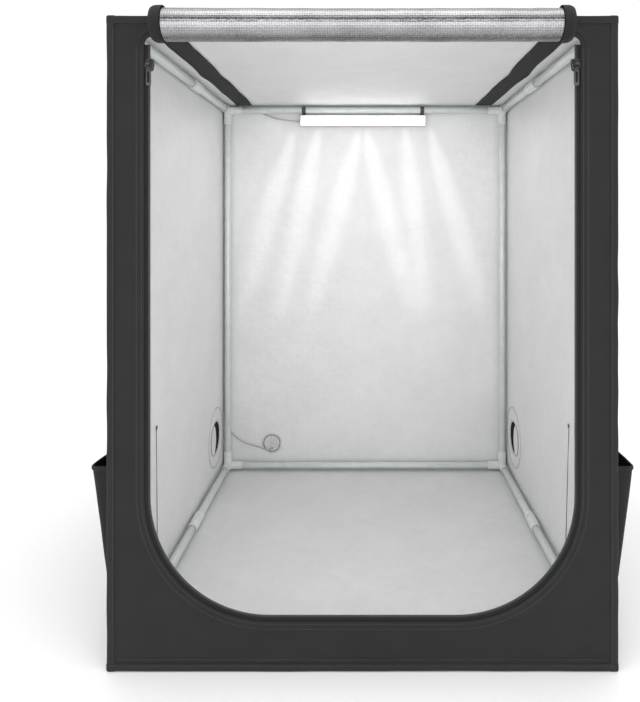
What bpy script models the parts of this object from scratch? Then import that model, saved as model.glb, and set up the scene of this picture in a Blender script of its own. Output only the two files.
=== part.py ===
"""Zip-up box tent that encloses a desktop 3D printer: tube frame, foil-lined panels and LED bar.

Metres, +Z up. The origin is the middle of the footprint, on the surface that the tent stands
on. The door is at -Y, and +X is to the right of someone who faces the door.
"""
import math

import bmesh
import bpy
from mathutils import Vector

# Tent
TENT_WIDTH = 0.600
TENT_DEPTH = 0.600
TENT_HEIGHT = 0.770
FABRIC = 0.0018
GAP = 0.0003

# Door opening and its zip
SIDE_BAND = 0.0505
BOTTOM_BAND = 0.066
TOP_BAND = 0.034
OPENING_CORNER = 0.140
OPENING_TOP_CORNER = 0.012
ZIP_BAND = 0.006
ZIP_THICKNESS = 0.0012
ZIP_END_BELOW_OPENING = 0.004
ARC_STEPS = 12

# Zip sliders and pull tabs
SLIDER_HEIGHT = 0.014
SLIDER_PLATE = 0.0022
SLIDER_WEB = 0.0040
EAR_THICKNESS = 0.0011
EAR_REACH = 0.0042
TAB_WIDTH = 0.0062
TAB_LENGTH = 0.026
TAB_THICKNESS = 0.0012
KNUCKLE_WIDTH = 0.0036
KNUCKLE_RADIUS = 0.0020
PIN_RADIUS = 0.0008
PIN_STEPS = 12

# Frame tubes and plastic connectors
TUBE_RADIUS = 0.0065
TUBE_WALL = 0.0008
TUBE_FROM_FABRIC = TUBE_RADIUS + 0.0040
FRAME_OFF_FLOOR = 0.0006
SOCKET_WALL = 0.0017
SOCKET_RADIUS = TUBE_RADIUS + GAP + SOCKET_WALL
HUB_RADIUS = SOCKET_RADIUS + 0.0004
SOCKET_LENGTH = 0.030
SOCKET_DEPTH = 0.021
COUPLER_LENGTH = 0.050
COUPLER_STOP = 0.0020
COUPLER_STOP_RADIUS = TUBE_RADIUS - 0.0010
COUPLER_FROM_FRONT = 0.338
ROUND_STEPS = 16

# Rolled-up door
ROLL_RADIUS = 0.020
ROLL_NECK_RADIUS = 0.0185
ROLL_HALF_LENGTH = 0.2405
ROLL_END_BAND = 0.0145
ROLL_BELOW_TOP = 0.016
ROLL_STEPS = 28
ROLL_CLEARANCE = 0.0005
DOOR_WEB = 0.0015
DOOR_SEAM_RAISE = 0.0015
DOOR_SEAM_FORWARD = 0.0010

# Side pockets
POCKET_FROM_FRONT = 0.045
POCKET_LENGTH = 0.250
POCKET_BOTTOM = 0.068
POCKET_TOP = 0.222
POCKET_FLARE = 0.038
POCKET_WALL = 0.0016
POCKET_FLOOR = 0.008

# Ceiling bands
BAND_WIDTH = 0.033
BAND_THICKNESS = 0.0015
BAND_OFFSET = 0.250
BAND_FROM_FRAME = 0.0006

# Cable ports
SIDE_PORT_RADIUS = 0.030
SIDE_PORT_FROM_REAR = 0.075
SIDE_PORT_HEIGHT = 0.093
SIDE_PORT_RIM = 0.012
PORT_RIM_THICKNESS = 0.0012
FLAP_RADIUS = 0.030
FLAP_FORWARD = 0.012
FLAP_THICKNESS = 0.0012
REAR_PORT_RADIUS = 0.017
REAR_PORT_X = -0.197
REAR_PORT_HEIGHT = 0.055
SLEEVE_LENGTH = 0.014
SLEEVE_MOUTH_RADIUS = 0.014
SLEEVE_WALL = 0.0014
PORT_STEPS = 24
PORT_LAST_ANGLE = 360 - 360 / PORT_STEPS

# LED bar under the rear top rail
LED_LENGTH = 0.264
LED_CENTRE_X = -0.004
LED_HEIGHT = 0.022
LED_DEPTH = 0.012
LED_WALL = 0.0016
LED_BELOW_RAIL = 0.0045
LED_LENS_PROUD = 0.0026
CLIP_WIDTH = 0.008
CLIP_FROM_END = 0.008
CLIP_WALL = 0.0018
CLIP_MOUTH = 0.0075
CLIP_STEPS = 20

# LED lead, its coil, switch and plug behind the tent
LEAD_RADIUS = 0.0015
LEAD_BEHIND_RAIL = TUBE_RADIUS + LEAD_RADIUS + 0.0005
LEAD_ABOVE_RAIL = TUBE_RADIUS + LEAD_RADIUS
LEAD_REST = LEAD_RADIUS + 0.0002
COIL_RADIUS = 0.0170
COIL_BUNDLE = 0.0050
COIL_BEHIND_TENT = 0.047
COIL_X = -0.080
SWITCH_LENGTH = 0.030
SWITCH_WIDTH = 0.013
SWITCH_HEIGHT = 0.010
BUTTON_RADIUS = 0.0038
BUTTON_PROUD = 0.0018
BUTTON_WELL = 0.0045
BUTTON_FLOOR_GAP = 0.0015
PLUG_GRIP_LENGTH = 0.024
PLUG_GRIP_WIDTH = 0.0155
PLUG_GRIP_HEIGHT = 0.0080
PLUG_SHELL_LENGTH = 0.012
PLUG_SHELL_WIDTH = 0.0120
PLUG_SHELL_HEIGHT = 0.0045

MERGE = 0.00001
BLACK_CLOTH = ("black_cloth", (0.032, 0.032, 0.034), 0.85, 0.0)
BLACK_WEBBING = ("black_webbing", (0.028, 0.028, 0.029), 0.80, 0.0)
FOIL_CLOTH = ("foil_cloth", (0.60, 0.60, 0.61), 0.38, 0.75)
GREY_TUBE = ("grey_tube", (0.34, 0.38, 0.38), 0.35, 0.60)
PALE_PLASTIC = ("pale_plastic", (0.55, 0.57, 0.58), 0.45, 0.0)
ZIP_TAPE = ("zip_tape", (0.020, 0.020, 0.021), 0.70, 0.0)
ZIP_METAL = ("zip_metal", (0.035, 0.035, 0.037), 0.35, 0.60)
WHITE_PLASTIC = ("white_plastic", (0.80, 0.80, 0.80), 0.40, 0.0)
LIT_LENS = ("lit_lens", (0.95, 0.95, 0.95), 0.30, 0.0)
DARK_PLASTIC = ("dark_plastic", (0.05, 0.05, 0.055), 0.45, 0.0)
LEAD_SHEATH = ("lead_sheath", (0.52, 0.49, 0.53), 0.50, 0.0)
PLATED_STEEL = ("plated_steel", (0.62, 0.62, 0.60), 0.25, 1.0)

HALF_WIDTH = TENT_WIDTH / 2
HALF_DEPTH = TENT_DEPTH / 2
OPENING_HALF = HALF_WIDTH - SIDE_BAND
OPENING_TOP = TENT_HEIGHT - TOP_BAND
WALL_TOP = TENT_HEIGHT - FABRIC - GAP
FRAME_INSET = FABRIC + TUBE_FROM_FABRIC
FRAME_X = HALF_WIDTH - FRAME_INSET
FRAME_Y = HALF_DEPTH - FRAME_INSET
FRAME_LOW = FRAME_INSET + FRAME_OFF_FLOOR
FRAME_HIGH = TENT_HEIGHT - FRAME_INSET
BORE_RADIUS = TUBE_RADIUS + GAP
TUBE_END = SOCKET_LENGTH - SOCKET_DEPTH + GAP


def clear_scene():
    """Removes whatever the scene holds."""
    for item in list(bpy.data.objects):
        bpy.data.objects.remove(item, do_unlink=True)


def collection(name):
    made = bpy.data.collections.new(name)
    bpy.context.scene.collection.children.link(made)
    return made


clear_scene()
PARTS = collection("printer_enclosure_tent")
CUTTERS = collection("cutters")


def material(finish):
    name, colour, roughness, metallic = finish
    found = bpy.data.materials.get(name)
    if found:
        return found
    made = bpy.data.materials.new(name)
    made.use_nodes = True
    shader = made.node_tree.nodes["Principled BSDF"]
    shader.inputs["Base Color"].default_value = (*colour, 1.0)
    shader.inputs["Roughness"].default_value = roughness
    shader.inputs["Metallic"].default_value = metallic
    return made


def add_object(name, mesh, finish, location=(0, 0, 0), rotation=(0, 0, 0)):
    """A named object in the parts collection."""
    made = bpy.data.objects.new(name, mesh)
    made.location = location
    made.rotation_euler = rotation
    PARTS.objects.link(made)
    if finish and not mesh.materials:
        mesh.materials.append(material(finish))
    return made


def as_cutter(item):
    """Moves an object to the cutters and hides it from renders."""
    for owner in list(item.users_collection):
        owner.objects.unlink(item)
    CUTTERS.objects.link(item)
    item.hide_render = True
    item.display_type = "WIRE"
    return item


def finished_mesh(item):
    """The object's evaluated mesh, welded, in the object's own space."""
    bpy.context.view_layer.update()
    graph = bpy.context.evaluated_depsgraph_get()
    mesh = bpy.data.meshes.new_from_object(item.evaluated_get(graph))
    form = bmesh.new()
    form.from_mesh(mesh)
    bmesh.ops.remove_doubles(form, verts=form.verts, dist=MERGE)
    form.to_mesh(mesh)
    form.free()
    return mesh


def box_mesh(name, low, high):
    """A box between two corners."""
    low, high = Vector(low), Vector(high)
    form = bmesh.new()
    bmesh.ops.create_cube(form, size=1.0)
    bmesh.ops.scale(form, vec=high - low, verts=form.verts)
    bmesh.ops.translate(form, vec=(high + low) / 2, verts=form.verts)
    mesh = bpy.data.meshes.new(name)
    form.to_mesh(mesh)
    form.free()
    return mesh


def box(name, low, high, finish, bevel=0.0):
    made = add_object(name, box_mesh(name, low, high), finish)
    if bevel:
        round_edges(made, bevel)
    return made


def rod(name, start, end, radius, finish, steps=ROUND_STEPS):
    """A solid round bar between two points."""
    start, end = Vector(start), Vector(end)
    form = bmesh.new()
    bmesh.ops.create_cone(
        form,
        cap_ends=True,
        segments=steps,
        radius1=radius,
        radius2=radius,
        depth=(end - start).length,
    )
    mesh = bpy.data.meshes.new(name)
    form.to_mesh(mesh)
    form.free()
    mesh.shade_smooth()
    mesh.set_sharp_from_angle(angle=math.radians(40))
    turn = Vector((0, 0, 1)).rotation_difference(end - start).to_euler()
    return add_object(name, mesh, finish, (start + end) / 2, turn)


def turned(name, profile, finish, location=(0, 0, 0), rotation=(0, 0, 0), steps=ROUND_STEPS):
    """A (radius, height) profile turned about Z: closed to a ring, or from axis to axis."""
    mesh = bpy.data.meshes.new(name)
    count = len(profile)
    meets_axis = profile[0][0] == 0
    edges = [(i, (i + 1) % count) for i in range(count - 1 if meets_axis else count)]
    mesh.from_pydata([(radius, 0, height) for radius, height in profile], edges, [])
    made = add_object(name, mesh, finish, location, rotation)
    screw = made.modifiers.new("turn", "SCREW")
    screw.axis = "Z"
    screw.steps = steps
    screw.render_steps = steps
    screw.use_merge_vertices = True
    screw.merge_threshold = MERGE
    screw.use_smooth_shade = False
    return made


def plate(name, loops, thickness, finish, location, rotation):
    """A flat plate from closed outlines: the first is its edge and the others are holes."""
    curve = bpy.data.curves.new(name, "CURVE")
    curve.dimensions = "2D"
    curve.fill_mode = "BOTH"
    curve.extrude = thickness / 2
    for loop in loops:
        spline = curve.splines.new("POLY")
        spline.points.add(len(loop) - 1)
        for point, (x, y) in zip(spline.points, loop):
            point.co = (x, y, 0, 1)
        spline.use_cyclic_u = True
    outline = bpy.data.objects.new(name + "_outline", curve)
    CUTTERS.objects.link(outline)
    mesh = finished_mesh(outline)
    bpy.data.objects.remove(outline)
    mesh.materials.clear()
    return add_object(name, mesh, finish, location, rotation)


def arc(centre_x, centre_y, radius, start, end, steps=ARC_STEPS):
    """Points on an arc, with angles in degrees."""
    points = []
    for i in range(steps + 1):
        angle = math.radians(start + (end - start) * i / steps)
        points.append((centre_x + radius * math.cos(angle), centre_y + radius * math.sin(angle)))
    return points


def round_edges(item, width, segments=1):
    """A bevel along the sharp edges."""
    bevel = item.modifiers.new("edges", "BEVEL")
    bevel.width = width
    bevel.segments = segments
    bevel.limit_method = "ANGLE"


def combine(target, other, operation):
    """A Boolean of the target with another object, which becomes a cutter."""
    change = target.modifiers.new(operation.lower(), "BOOLEAN")
    change.operation = operation
    change.object = as_cutter(other)
    return target


def baked(item, name, finish):
    """Replaces an object by its finished mesh, which copies may share."""
    mesh = finished_mesh(item)
    mesh.materials.clear()
    mesh.materials.append(material(finish))
    mesh.transform(item.matrix_world)
    bpy.data.objects.remove(item)
    mesh.name = name
    return mesh


FACING_FRONT = (math.radians(90), 0, 0)
FACING_SIDE = (math.radians(90), 0, math.radians(90))
ALONG_X = (0, math.radians(90), 0)
ALONG_Y = (math.radians(-90), 0, 0)


def rectangle(left, bottom, right, top):
    return [(left, bottom), (right, bottom), (right, top), (left, top)]


def panels():
    """The six fabric panels."""
    inner_x = HALF_WIDTH - FABRIC - GAP
    inner_y = HALF_DEPTH - FABRIC - GAP
    box("floor_panel", (-inner_x, -inner_y, 0), (inner_x, inner_y, FABRIC), FOIL_CLOTH)
    box(
        "roof_panel",
        (-HALF_WIDTH, -HALF_DEPTH, TENT_HEIGHT - FABRIC),
        (HALF_WIDTH, HALF_DEPTH, TENT_HEIGHT),
        BLACK_CLOTH,
    )
    side_outline = rectangle(-inner_y, 0, inner_y, WALL_TOP)
    port_y = HALF_DEPTH - SIDE_PORT_FROM_REAR
    side_hole = arc(port_y, SIDE_PORT_HEIGHT, SIDE_PORT_RADIUS, 0, PORT_LAST_ANGLE, PORT_STEPS - 1)
    for side, name in ((-1, "left_wall"), (1, "right_wall")):
        place = (side * (HALF_WIDTH - FABRIC / 2), 0, 0)
        plate(name, [side_outline, side_hole], FABRIC, BLACK_CLOTH, place, FACING_SIDE)
    rear_outline = rectangle(-HALF_WIDTH, 0, HALF_WIDTH, WALL_TOP)
    rear_hole = arc(REAR_PORT_X, REAR_PORT_HEIGHT, REAR_PORT_RADIUS, 0, PORT_LAST_ANGLE, PORT_STEPS - 1)
    rear_place = (0, HALF_DEPTH - FABRIC / 2, 0)
    plate("rear_wall", [rear_outline, rear_hole], FABRIC, BLACK_CLOTH, rear_place, FACING_FRONT)


def opening_sides(inset, top):
    """The U of the door opening, from its top right round the bottom to its top left."""
    half = OPENING_HALF - inset
    low = BOTTOM_BAND + inset
    radius = OPENING_CORNER - inset
    right = arc(half - radius, low + radius, radius, 0, -90)
    left = arc(radius - half, low + radius, radius, -90, -180)
    return [(half, top), *right, *left, (-half, top)]


def front_surround():
    """The front panel round the door opening, and the zip tape that edges the opening."""
    outline = rectangle(-HALF_WIDTH, 0, HALF_WIDTH, WALL_TOP)
    half = OPENING_HALF + ZIP_BAND
    round_top = OPENING_TOP_CORNER
    start_top = OPENING_TOP - round_top
    top_left = arc(round_top - half, start_top, round_top, 180, 90, 4)
    top_right = arc(half - round_top, start_top, round_top, 90, 0, 4)
    hole = opening_sides(-ZIP_BAND, start_top)[1:-1] + top_left + top_right
    place = (0, FABRIC / 2 - HALF_DEPTH, 0)
    plate("front_surround", [outline, hole], FABRIC, BLACK_CLOTH, place, FACING_FRONT)
    zip_top = OPENING_TOP - ZIP_END_BELOW_OPENING - round_top
    outer = opening_sides(GAP - ZIP_BAND, zip_top)
    inner = opening_sides(0, zip_top)
    plate("zipper_track", [outer + inner[::-1]], ZIP_THICKNESS, ZIP_TAPE, place, FACING_FRONT)


def corner_connector_mesh():
    """A ball hub with three sockets, along +X, +Y and +Z."""
    form = bmesh.new()
    bmesh.ops.create_uvsphere(form, u_segments=ROUND_STEPS, v_segments=8, radius=HUB_RADIUS)
    ball = bpy.data.meshes.new("hub")
    form.to_mesh(ball)
    form.free()
    hub = add_object("hub", ball, None)
    arms = [Vector((1, 0, 0)), Vector((0, 1, 0)), Vector((0, 0, 1))]
    for arm in arms:
        socket = rod("socket", (0, 0, 0), arm * SOCKET_LENGTH, SOCKET_RADIUS, None)
        combine(hub, socket, "UNION")
    for arm in arms:
        floor = arm * (SOCKET_LENGTH - SOCKET_DEPTH)
        bore = rod("bore", floor, arm * (SOCKET_LENGTH + GAP), BORE_RADIUS, None)
        combine(hub, bore, "DIFFERENCE")
    return baked(hub, "corner_connector", PALE_PLASTIC)


def hollow_tube(name, start, end, finish=GREY_TUBE):
    """An open-ended frame tube between two points."""
    start, end = Vector(start), Vector(end)
    half = (end - start).length / 2
    inner = TUBE_RADIUS - TUBE_WALL
    profile = [(TUBE_RADIUS, half), (TUBE_RADIUS, -half), (inner, -half), (inner, half)]
    turn = Vector((0, 0, 1)).rotation_difference(end - start).to_euler()
    return turned(name, profile, finish, (start + end) / 2, turn)


def coupler(name, place):
    """A sleeve that joins two tube halves, with a stop rib in its middle."""
    half = COUPLER_LENGTH / 2
    rib = COUPLER_STOP / 2
    profile = [
        (SOCKET_RADIUS, half),
        (SOCKET_RADIUS, -half),
        (BORE_RADIUS, -half),
        (BORE_RADIUS, -rib),
        (COUPLER_STOP_RADIUS, -rib),
        (COUPLER_STOP_RADIUS, rib),
        (BORE_RADIUS, rib),
        (BORE_RADIUS, half),
    ]
    return turned(name, profile, PALE_PLASTIC, place, ALONG_Y)


def frame():
    """Eight corner connectors, four posts, four cross rails and four jointed side rails."""
    mesh = corner_connector_mesh()
    levels = (("bottom", FRAME_LOW, 1), ("top", FRAME_HIGH, -1))
    quarter_turns = {(-1, -1): 0, (1, -1): 90, (1, 1): 180, (-1, 1): 270}
    names = {(-1, -1): "front_left", (1, -1): "front_right", (1, 1): "rear_right", (-1, 1): "rear_left"}
    for level, height, up in levels:
        for (side_x, side_y), angle in quarter_turns.items():
            flip = 0 if up > 0 else math.radians(180)
            turn = math.radians(angle if up > 0 else angle + 90)
            place = (side_x * FRAME_X, side_y * FRAME_Y, height)
            name = f"corner_{level}_{names[side_x, side_y]}"
            add_object(name, mesh, None, place, (flip, 0, turn))
        coupler_y = COUPLER_FROM_FRONT - HALF_DEPTH
        stop = COUPLER_STOP / 2 + GAP
        for side, label in ((-1, "left"), (1, "right")):
            x = side * FRAME_X
            front = (x, TUBE_END - FRAME_Y, height)
            rear = (x, FRAME_Y - TUBE_END, height)
            hollow_tube(f"side_rail_{level}_{label}_front", front, (x, coupler_y - stop, height))
            hollow_tube(f"side_rail_{level}_{label}_rear", (x, coupler_y + stop, height), rear)
            coupler(f"coupler_{level}_{label}", (x, coupler_y, height))
        for side, label in ((-1, "front"), (1, "rear")):
            y = side * FRAME_Y
            reach = FRAME_X - TUBE_END
            hollow_tube(f"cross_rail_{level}_{label}", (-reach, y, height), (reach, y, height))
    for (side_x, side_y), name in names.items():
        x, y = side_x * FRAME_X, side_y * FRAME_Y
        hollow_tube(f"post_{name}", (x, y, FRAME_LOW + TUBE_END), (x, y, FRAME_HIGH - TUBE_END))


def rolled_door():
    """The door rolled up in front of the top edge, and the two straps that hold it."""
    y = -(HALF_DEPTH + ROLL_RADIUS + ROLL_CLEARANCE)
    z = TENT_HEIGHT - ROLL_BELOW_TOP
    shoulder = ROLL_HALF_LENGTH - ROLL_END_BAND
    profile = [
        (0, ROLL_HALF_LENGTH),
        (ROLL_NECK_RADIUS, ROLL_HALF_LENGTH),
        (ROLL_NECK_RADIUS, shoulder),
        (ROLL_RADIUS, shoulder),
        (ROLL_RADIUS, -shoulder),
        (ROLL_NECK_RADIUS, -shoulder),
        (ROLL_NECK_RADIUS, -ROLL_HALF_LENGTH),
        (0, -ROLL_HALF_LENGTH),
    ]
    roll = turned("door_roll", profile, FOIL_CLOTH, (0, y, z), ALONG_X, ROLL_STEPS)
    seam_y = -(HALF_DEPTH + DOOR_SEAM_FORWARD)
    seam_z = TENT_HEIGHT + DOOR_SEAM_RAISE
    web = box(
        "door_web",
        (-shoulder + DOOR_WEB, y, seam_z - DOOR_WEB / 2),
        (shoulder - DOOR_WEB, seam_y, seam_z + DOOR_WEB / 2),
        None,
    )
    combine(roll, web, "UNION")
    strap_inner = ROLL_NECK_RADIUS + GAP
    half = (ROLL_END_BAND - 2 * GAP) / 2
    ring = [(ROLL_RADIUS, half), (ROLL_RADIUS, -half), (strap_inner, -half), (strap_inner, half)]
    for side, label in ((-1, "left"), (1, "right")):
        place = (side * (ROLL_HALF_LENGTH - ROLL_END_BAND / 2), y, z)
        turned(f"door_strap_{label}", ring, BLACK_WEBBING, place, ALONG_X, ROLL_STEPS)


def zip_sliders():
    """Two sliders that wrap the free edge of the zip tape, each with a hanging pull tab."""
    front_face = -HALF_DEPTH
    back_face = FABRIC - HALF_DEPTH
    edge = OPENING_HALF - GAP
    height = OPENING_TOP - OPENING_TOP_CORNER - ZIP_END_BELOW_OPENING - SLIDER_HEIGHT / 2
    outer_edge = OPENING_HALF + ZIP_BAND - GAP
    ear_gap = KNUCKLE_WIDTH / 2 + GAP
    centre = (edge - SLIDER_WEB + outer_edge) / 2
    pin_y = front_face - SLIDER_PLATE - EAR_REACH / 2
    ear_corner = EAR_REACH / math.sqrt(2)
    for side, label in ((-1, "left"), (1, "right")):
        low_x, high_x = sorted((side * (edge - SLIDER_WEB), side * outer_edge))
        bottom, top = height - SLIDER_HEIGHT / 2, height + SLIDER_HEIGHT / 2
        body = box(
            f"zip_slider_{label}",
            (low_x, front_face - SLIDER_PLATE, bottom),
            (high_x, back_face + SLIDER_PLATE, top),
            ZIP_METAL,
        )
        slot_x = sorted((side * edge, side * (outer_edge + ZIP_BAND)))
        slot = box(
            "slot",
            (slot_x[0], front_face, bottom - SLIDER_HEIGHT),
            (slot_x[1], back_face, top + SLIDER_HEIGHT),
            None,
        )
        combine(body, slot, "DIFFERENCE")
        middle = side * centre
        for ear_side in (-1, 1):
            ear_x = sorted((middle + ear_side * ear_gap, middle + ear_side * (ear_gap + EAR_THICKNESS)))
            ear = box(
                "ear",
                (ear_x[0], front_face - SLIDER_PLATE - EAR_REACH, height - EAR_REACH / 2),
                (ear_x[1], front_face - SLIDER_PLATE / 2, height + EAR_REACH / 2),
                None,
            )
            combine(body, ear, "UNION")
        reach = ear_gap + EAR_THICKNESS / 2
        pin_start, pin_end = (middle - reach, pin_y, height), (middle + reach, pin_y, height)
        pin = rod("pin", pin_start, pin_end, PIN_RADIUS, None, PIN_STEPS)
        combine(body, pin, "UNION")
        half = KNUCKLE_WIDTH / 2
        tab = rod(
            f"zip_pull_{label}",
            (middle - half, pin_y, height),
            (middle + half, pin_y, height),
            KNUCKLE_RADIUS,
            ZIP_METAL,
            PIN_STEPS,
        )
        blade = box(
            "blade",
            (middle - TAB_WIDTH / 2, pin_y - TAB_THICKNESS / 2, height - TAB_LENGTH),
            (middle + TAB_WIDTH / 2, pin_y + TAB_THICKNESS / 2, height - ear_corner - 2 * GAP),
            None,
        )
        neck = box(
            "neck",
            (middle - half, pin_y - TAB_THICKNESS / 2, height - EAR_REACH),
            (middle + half, pin_y + TAB_THICKNESS / 2, height - PIN_RADIUS - GAP),
            None,
        )
        bore_start = (middle - EAR_REACH, pin_y, height)
        bore_end = (middle + EAR_REACH, pin_y, height)
        bore = rod("bore", bore_start, bore_end, PIN_RADIUS + GAP, None, PIN_STEPS)
        combine(tab, neck, "UNION")
        combine(tab, blade, "UNION")
        combine(tab, bore, "DIFFERENCE")


def wedge(name, y_low, y_high, profile, finish):
    """A closed (outward reach, height) profile drawn along Y on the +X side."""
    place = (0, (y_low + y_high) / 2, 0)
    return plate(name, [profile], y_high - y_low, finish, place, FACING_FRONT)


def side_pockets():
    """Open-topped tool pockets on both sides, each with a divider."""
    slope = POCKET_FLARE / (POCKET_TOP - POCKET_BOTTOM)
    wall_x = HALF_WIDTH + GAP
    y_low = POCKET_FROM_FRONT - HALF_DEPTH
    y_high = y_low + POCKET_LENGTH
    cell = (POCKET_LENGTH - 3 * POCKET_WALL) / 2
    wall_run = POCKET_WALL * math.hypot(1, slope)
    for side, label in ((-1, "left"), (1, "right")):
        outside = [(0, POCKET_BOTTOM), (POCKET_FLARE, POCKET_TOP), (0, POCKET_TOP)]
        outline = [(side * (wall_x + x), z) for x, z in outside]
        body = wedge(f"side_pocket_{label}", y_low, y_high, outline, BLACK_CLOTH)
        above = POCKET_TOP + POCKET_WALL
        floor = POCKET_BOTTOM + POCKET_FLOOR
        lip = POCKET_FLARE - wall_run + slope * POCKET_WALL
        foot = slope * POCKET_FLOOR - wall_run
        inside = [(-POCKET_WALL, floor), (max(foot, 0), floor), (lip, above), (-POCKET_WALL, above)]
        for i in range(2):
            start = y_low + POCKET_WALL + i * (cell + POCKET_WALL)
            hollow = [(side * (wall_x + x), z) for x, z in inside]
            cutter = wedge("cell", start, start + cell, hollow, None)
            combine(body, cutter, "DIFFERENCE")


def ceiling_bands():
    """Webbing along the ceiling, from the front rail to the rear rail."""
    reach = FRAME_Y - HUB_RADIUS - BAND_FROM_FRAME
    top = TENT_HEIGHT - FABRIC - GAP
    for side, label in ((-1, "left"), (1, "right")):
        centre = side * BAND_OFFSET
        box(
            f"ceiling_band_{label}",
            (centre - BAND_WIDTH / 2, -reach, top - BAND_THICKNESS),
            (centre + BAND_WIDTH / 2, reach, top),
            BLACK_WEBBING,
        )


def cable_ports():
    """Round ports: a rim and a hinged inner flap on each side, and a sleeve at the rear."""
    half = PORT_RIM_THICKNESS / 2
    outer = SIDE_PORT_RADIUS + SIDE_PORT_RIM
    ring = [(outer, half), (outer, -half), (SIDE_PORT_RADIUS, -half), (SIDE_PORT_RADIUS, half)]
    y = HALF_DEPTH - SIDE_PORT_FROM_REAR
    for side, label in ((-1, "left"), (1, "right")):
        rim_x = side * (HALF_WIDTH + GAP + half)
        place = (rim_x, y, SIDE_PORT_HEIGHT)
        turned(f"side_port_rim_{label}", ring, BLACK_WEBBING, place, ALONG_X, PORT_STEPS)
        flap_x = side * (HALF_WIDTH - FABRIC - GAP - FLAP_THICKNESS / 2)
        reach = FLAP_THICKNESS / 2
        centre_y = y - FLAP_FORWARD
        rod(
            f"side_port_flap_{label}",
            (flap_x - reach, centre_y, SIDE_PORT_HEIGHT),
            (flap_x + reach, centre_y, SIDE_PORT_HEIGHT),
            FLAP_RADIUS,
            FOIL_CLOTH,
            PORT_STEPS,
        )
    sleeve = [
        (REAR_PORT_RADIUS + SLEEVE_WALL, 0),
        (REAR_PORT_RADIUS, 0),
        (SLEEVE_MOUTH_RADIUS, SLEEVE_LENGTH),
        (SLEEVE_MOUTH_RADIUS + SLEEVE_WALL, SLEEVE_LENGTH),
    ]
    place = (REAR_PORT_X, HALF_DEPTH + GAP, REAR_PORT_HEIGHT)
    turned("rear_port_sleeve", sleeve, BLACK_CLOTH, place, ALONG_Y, PORT_STEPS)


def led_bar():
    """A channel with a glowing lens, hung under the rear top rail by two snap clips."""
    left = LED_CENTRE_X - LED_LENGTH / 2
    right = LED_CENTRE_X + LED_LENGTH / 2
    top = FRAME_HIGH - TUBE_RADIUS - LED_BELOW_RAIL
    bottom = top - LED_HEIGHT
    front = FRAME_Y - LED_DEPTH / 2
    rear = FRAME_Y + LED_DEPTH / 2
    housing = box("led_housing", (left, front, bottom), (right, rear, top), WHITE_PLASTIC)
    channel = box(
        "channel",
        (left + LED_WALL, front - LED_DEPTH, bottom + LED_WALL),
        (right - LED_WALL, rear - LED_WALL, top - LED_WALL),
        None,
    )
    combine(housing, channel, "DIFFERENCE")
    inside = LED_WALL + GAP
    box(
        "led_lens",
        (left + inside, front - LED_LENS_PROUD, bottom + inside),
        (right - inside, rear - inside, top - inside),
        LIT_LENS,
    )
    ring_outer = BORE_RADIUS + CLIP_WALL
    for label, x in (("left", left + CLIP_FROM_END), ("right", right - CLIP_FROM_END)):
        start = (x - CLIP_WIDTH / 2, FRAME_Y, FRAME_HIGH)
        end = (x + CLIP_WIDTH / 2, FRAME_Y, FRAME_HIGH)
        clip = rod(f"led_clip_{label}", start, end, ring_outer, DARK_PLASTIC, CLIP_STEPS)
        leg = box(
            "leg",
            (start[0], FRAME_Y - TUBE_RADIUS / 2, top + GAP),
            (end[0], FRAME_Y + TUBE_RADIUS / 2, FRAME_HIGH - BORE_RADIUS),
            None,
        )
        combine(clip, leg, "UNION")
        bore_start = (x - CLIP_WIDTH, FRAME_Y, FRAME_HIGH)
        bore_end = (x + CLIP_WIDTH, FRAME_Y, FRAME_HIGH)
        bore = rod("bore", bore_start, bore_end, BORE_RADIUS, None, CLIP_STEPS)
        combine(clip, bore, "DIFFERENCE")
        mouth = box(
            "mouth",
            (x - CLIP_WIDTH, FRAME_Y - CLIP_MOUTH / 2, FRAME_HIGH),
            (x + CLIP_WIDTH, FRAME_Y + CLIP_MOUTH / 2, FRAME_HIGH + 2 * ring_outer),
            None,
        )
        combine(clip, mouth, "DIFFERENCE")


def smooth_route(points, steps):
    """Points on a smooth curve through the route's own points, however unevenly they are spaced."""
    points = [Vector(point) for point in points]
    spans = [end - start for start, end in zip(points, points[1:])]
    slopes = [spans[0].normalized()]
    for before, after in zip(spans, spans[1:]):
        share = before.length / (before.length + after.length)
        slopes.append(before.normalized() * (1 - share) + after.normalized() * share)
    slopes.append(spans[-1].normalized())
    found = []
    for i, span in enumerate(spans):
        for k in range(steps):
            t = k / steps
            along = points[i] + span * (3 * t**2 - 2 * t**3)
            leaving = slopes[i] * (t**3 - 2 * t**2 + t)
            arriving = slopes[i + 1] * (t**3 - t**2)
            found.append(along + (leaving + arriving) * span.length)
    return [*found, points[-1]]


def beside_coil(width):
    """How far along the lane beside the coil a piece of that width starts, from the coil's middle."""
    outside = COIL_RADIUS + COIL_BUNDLE
    return math.sqrt(outside**2 - (COIL_RADIUS - width / 2) ** 2) + GAP


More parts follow.
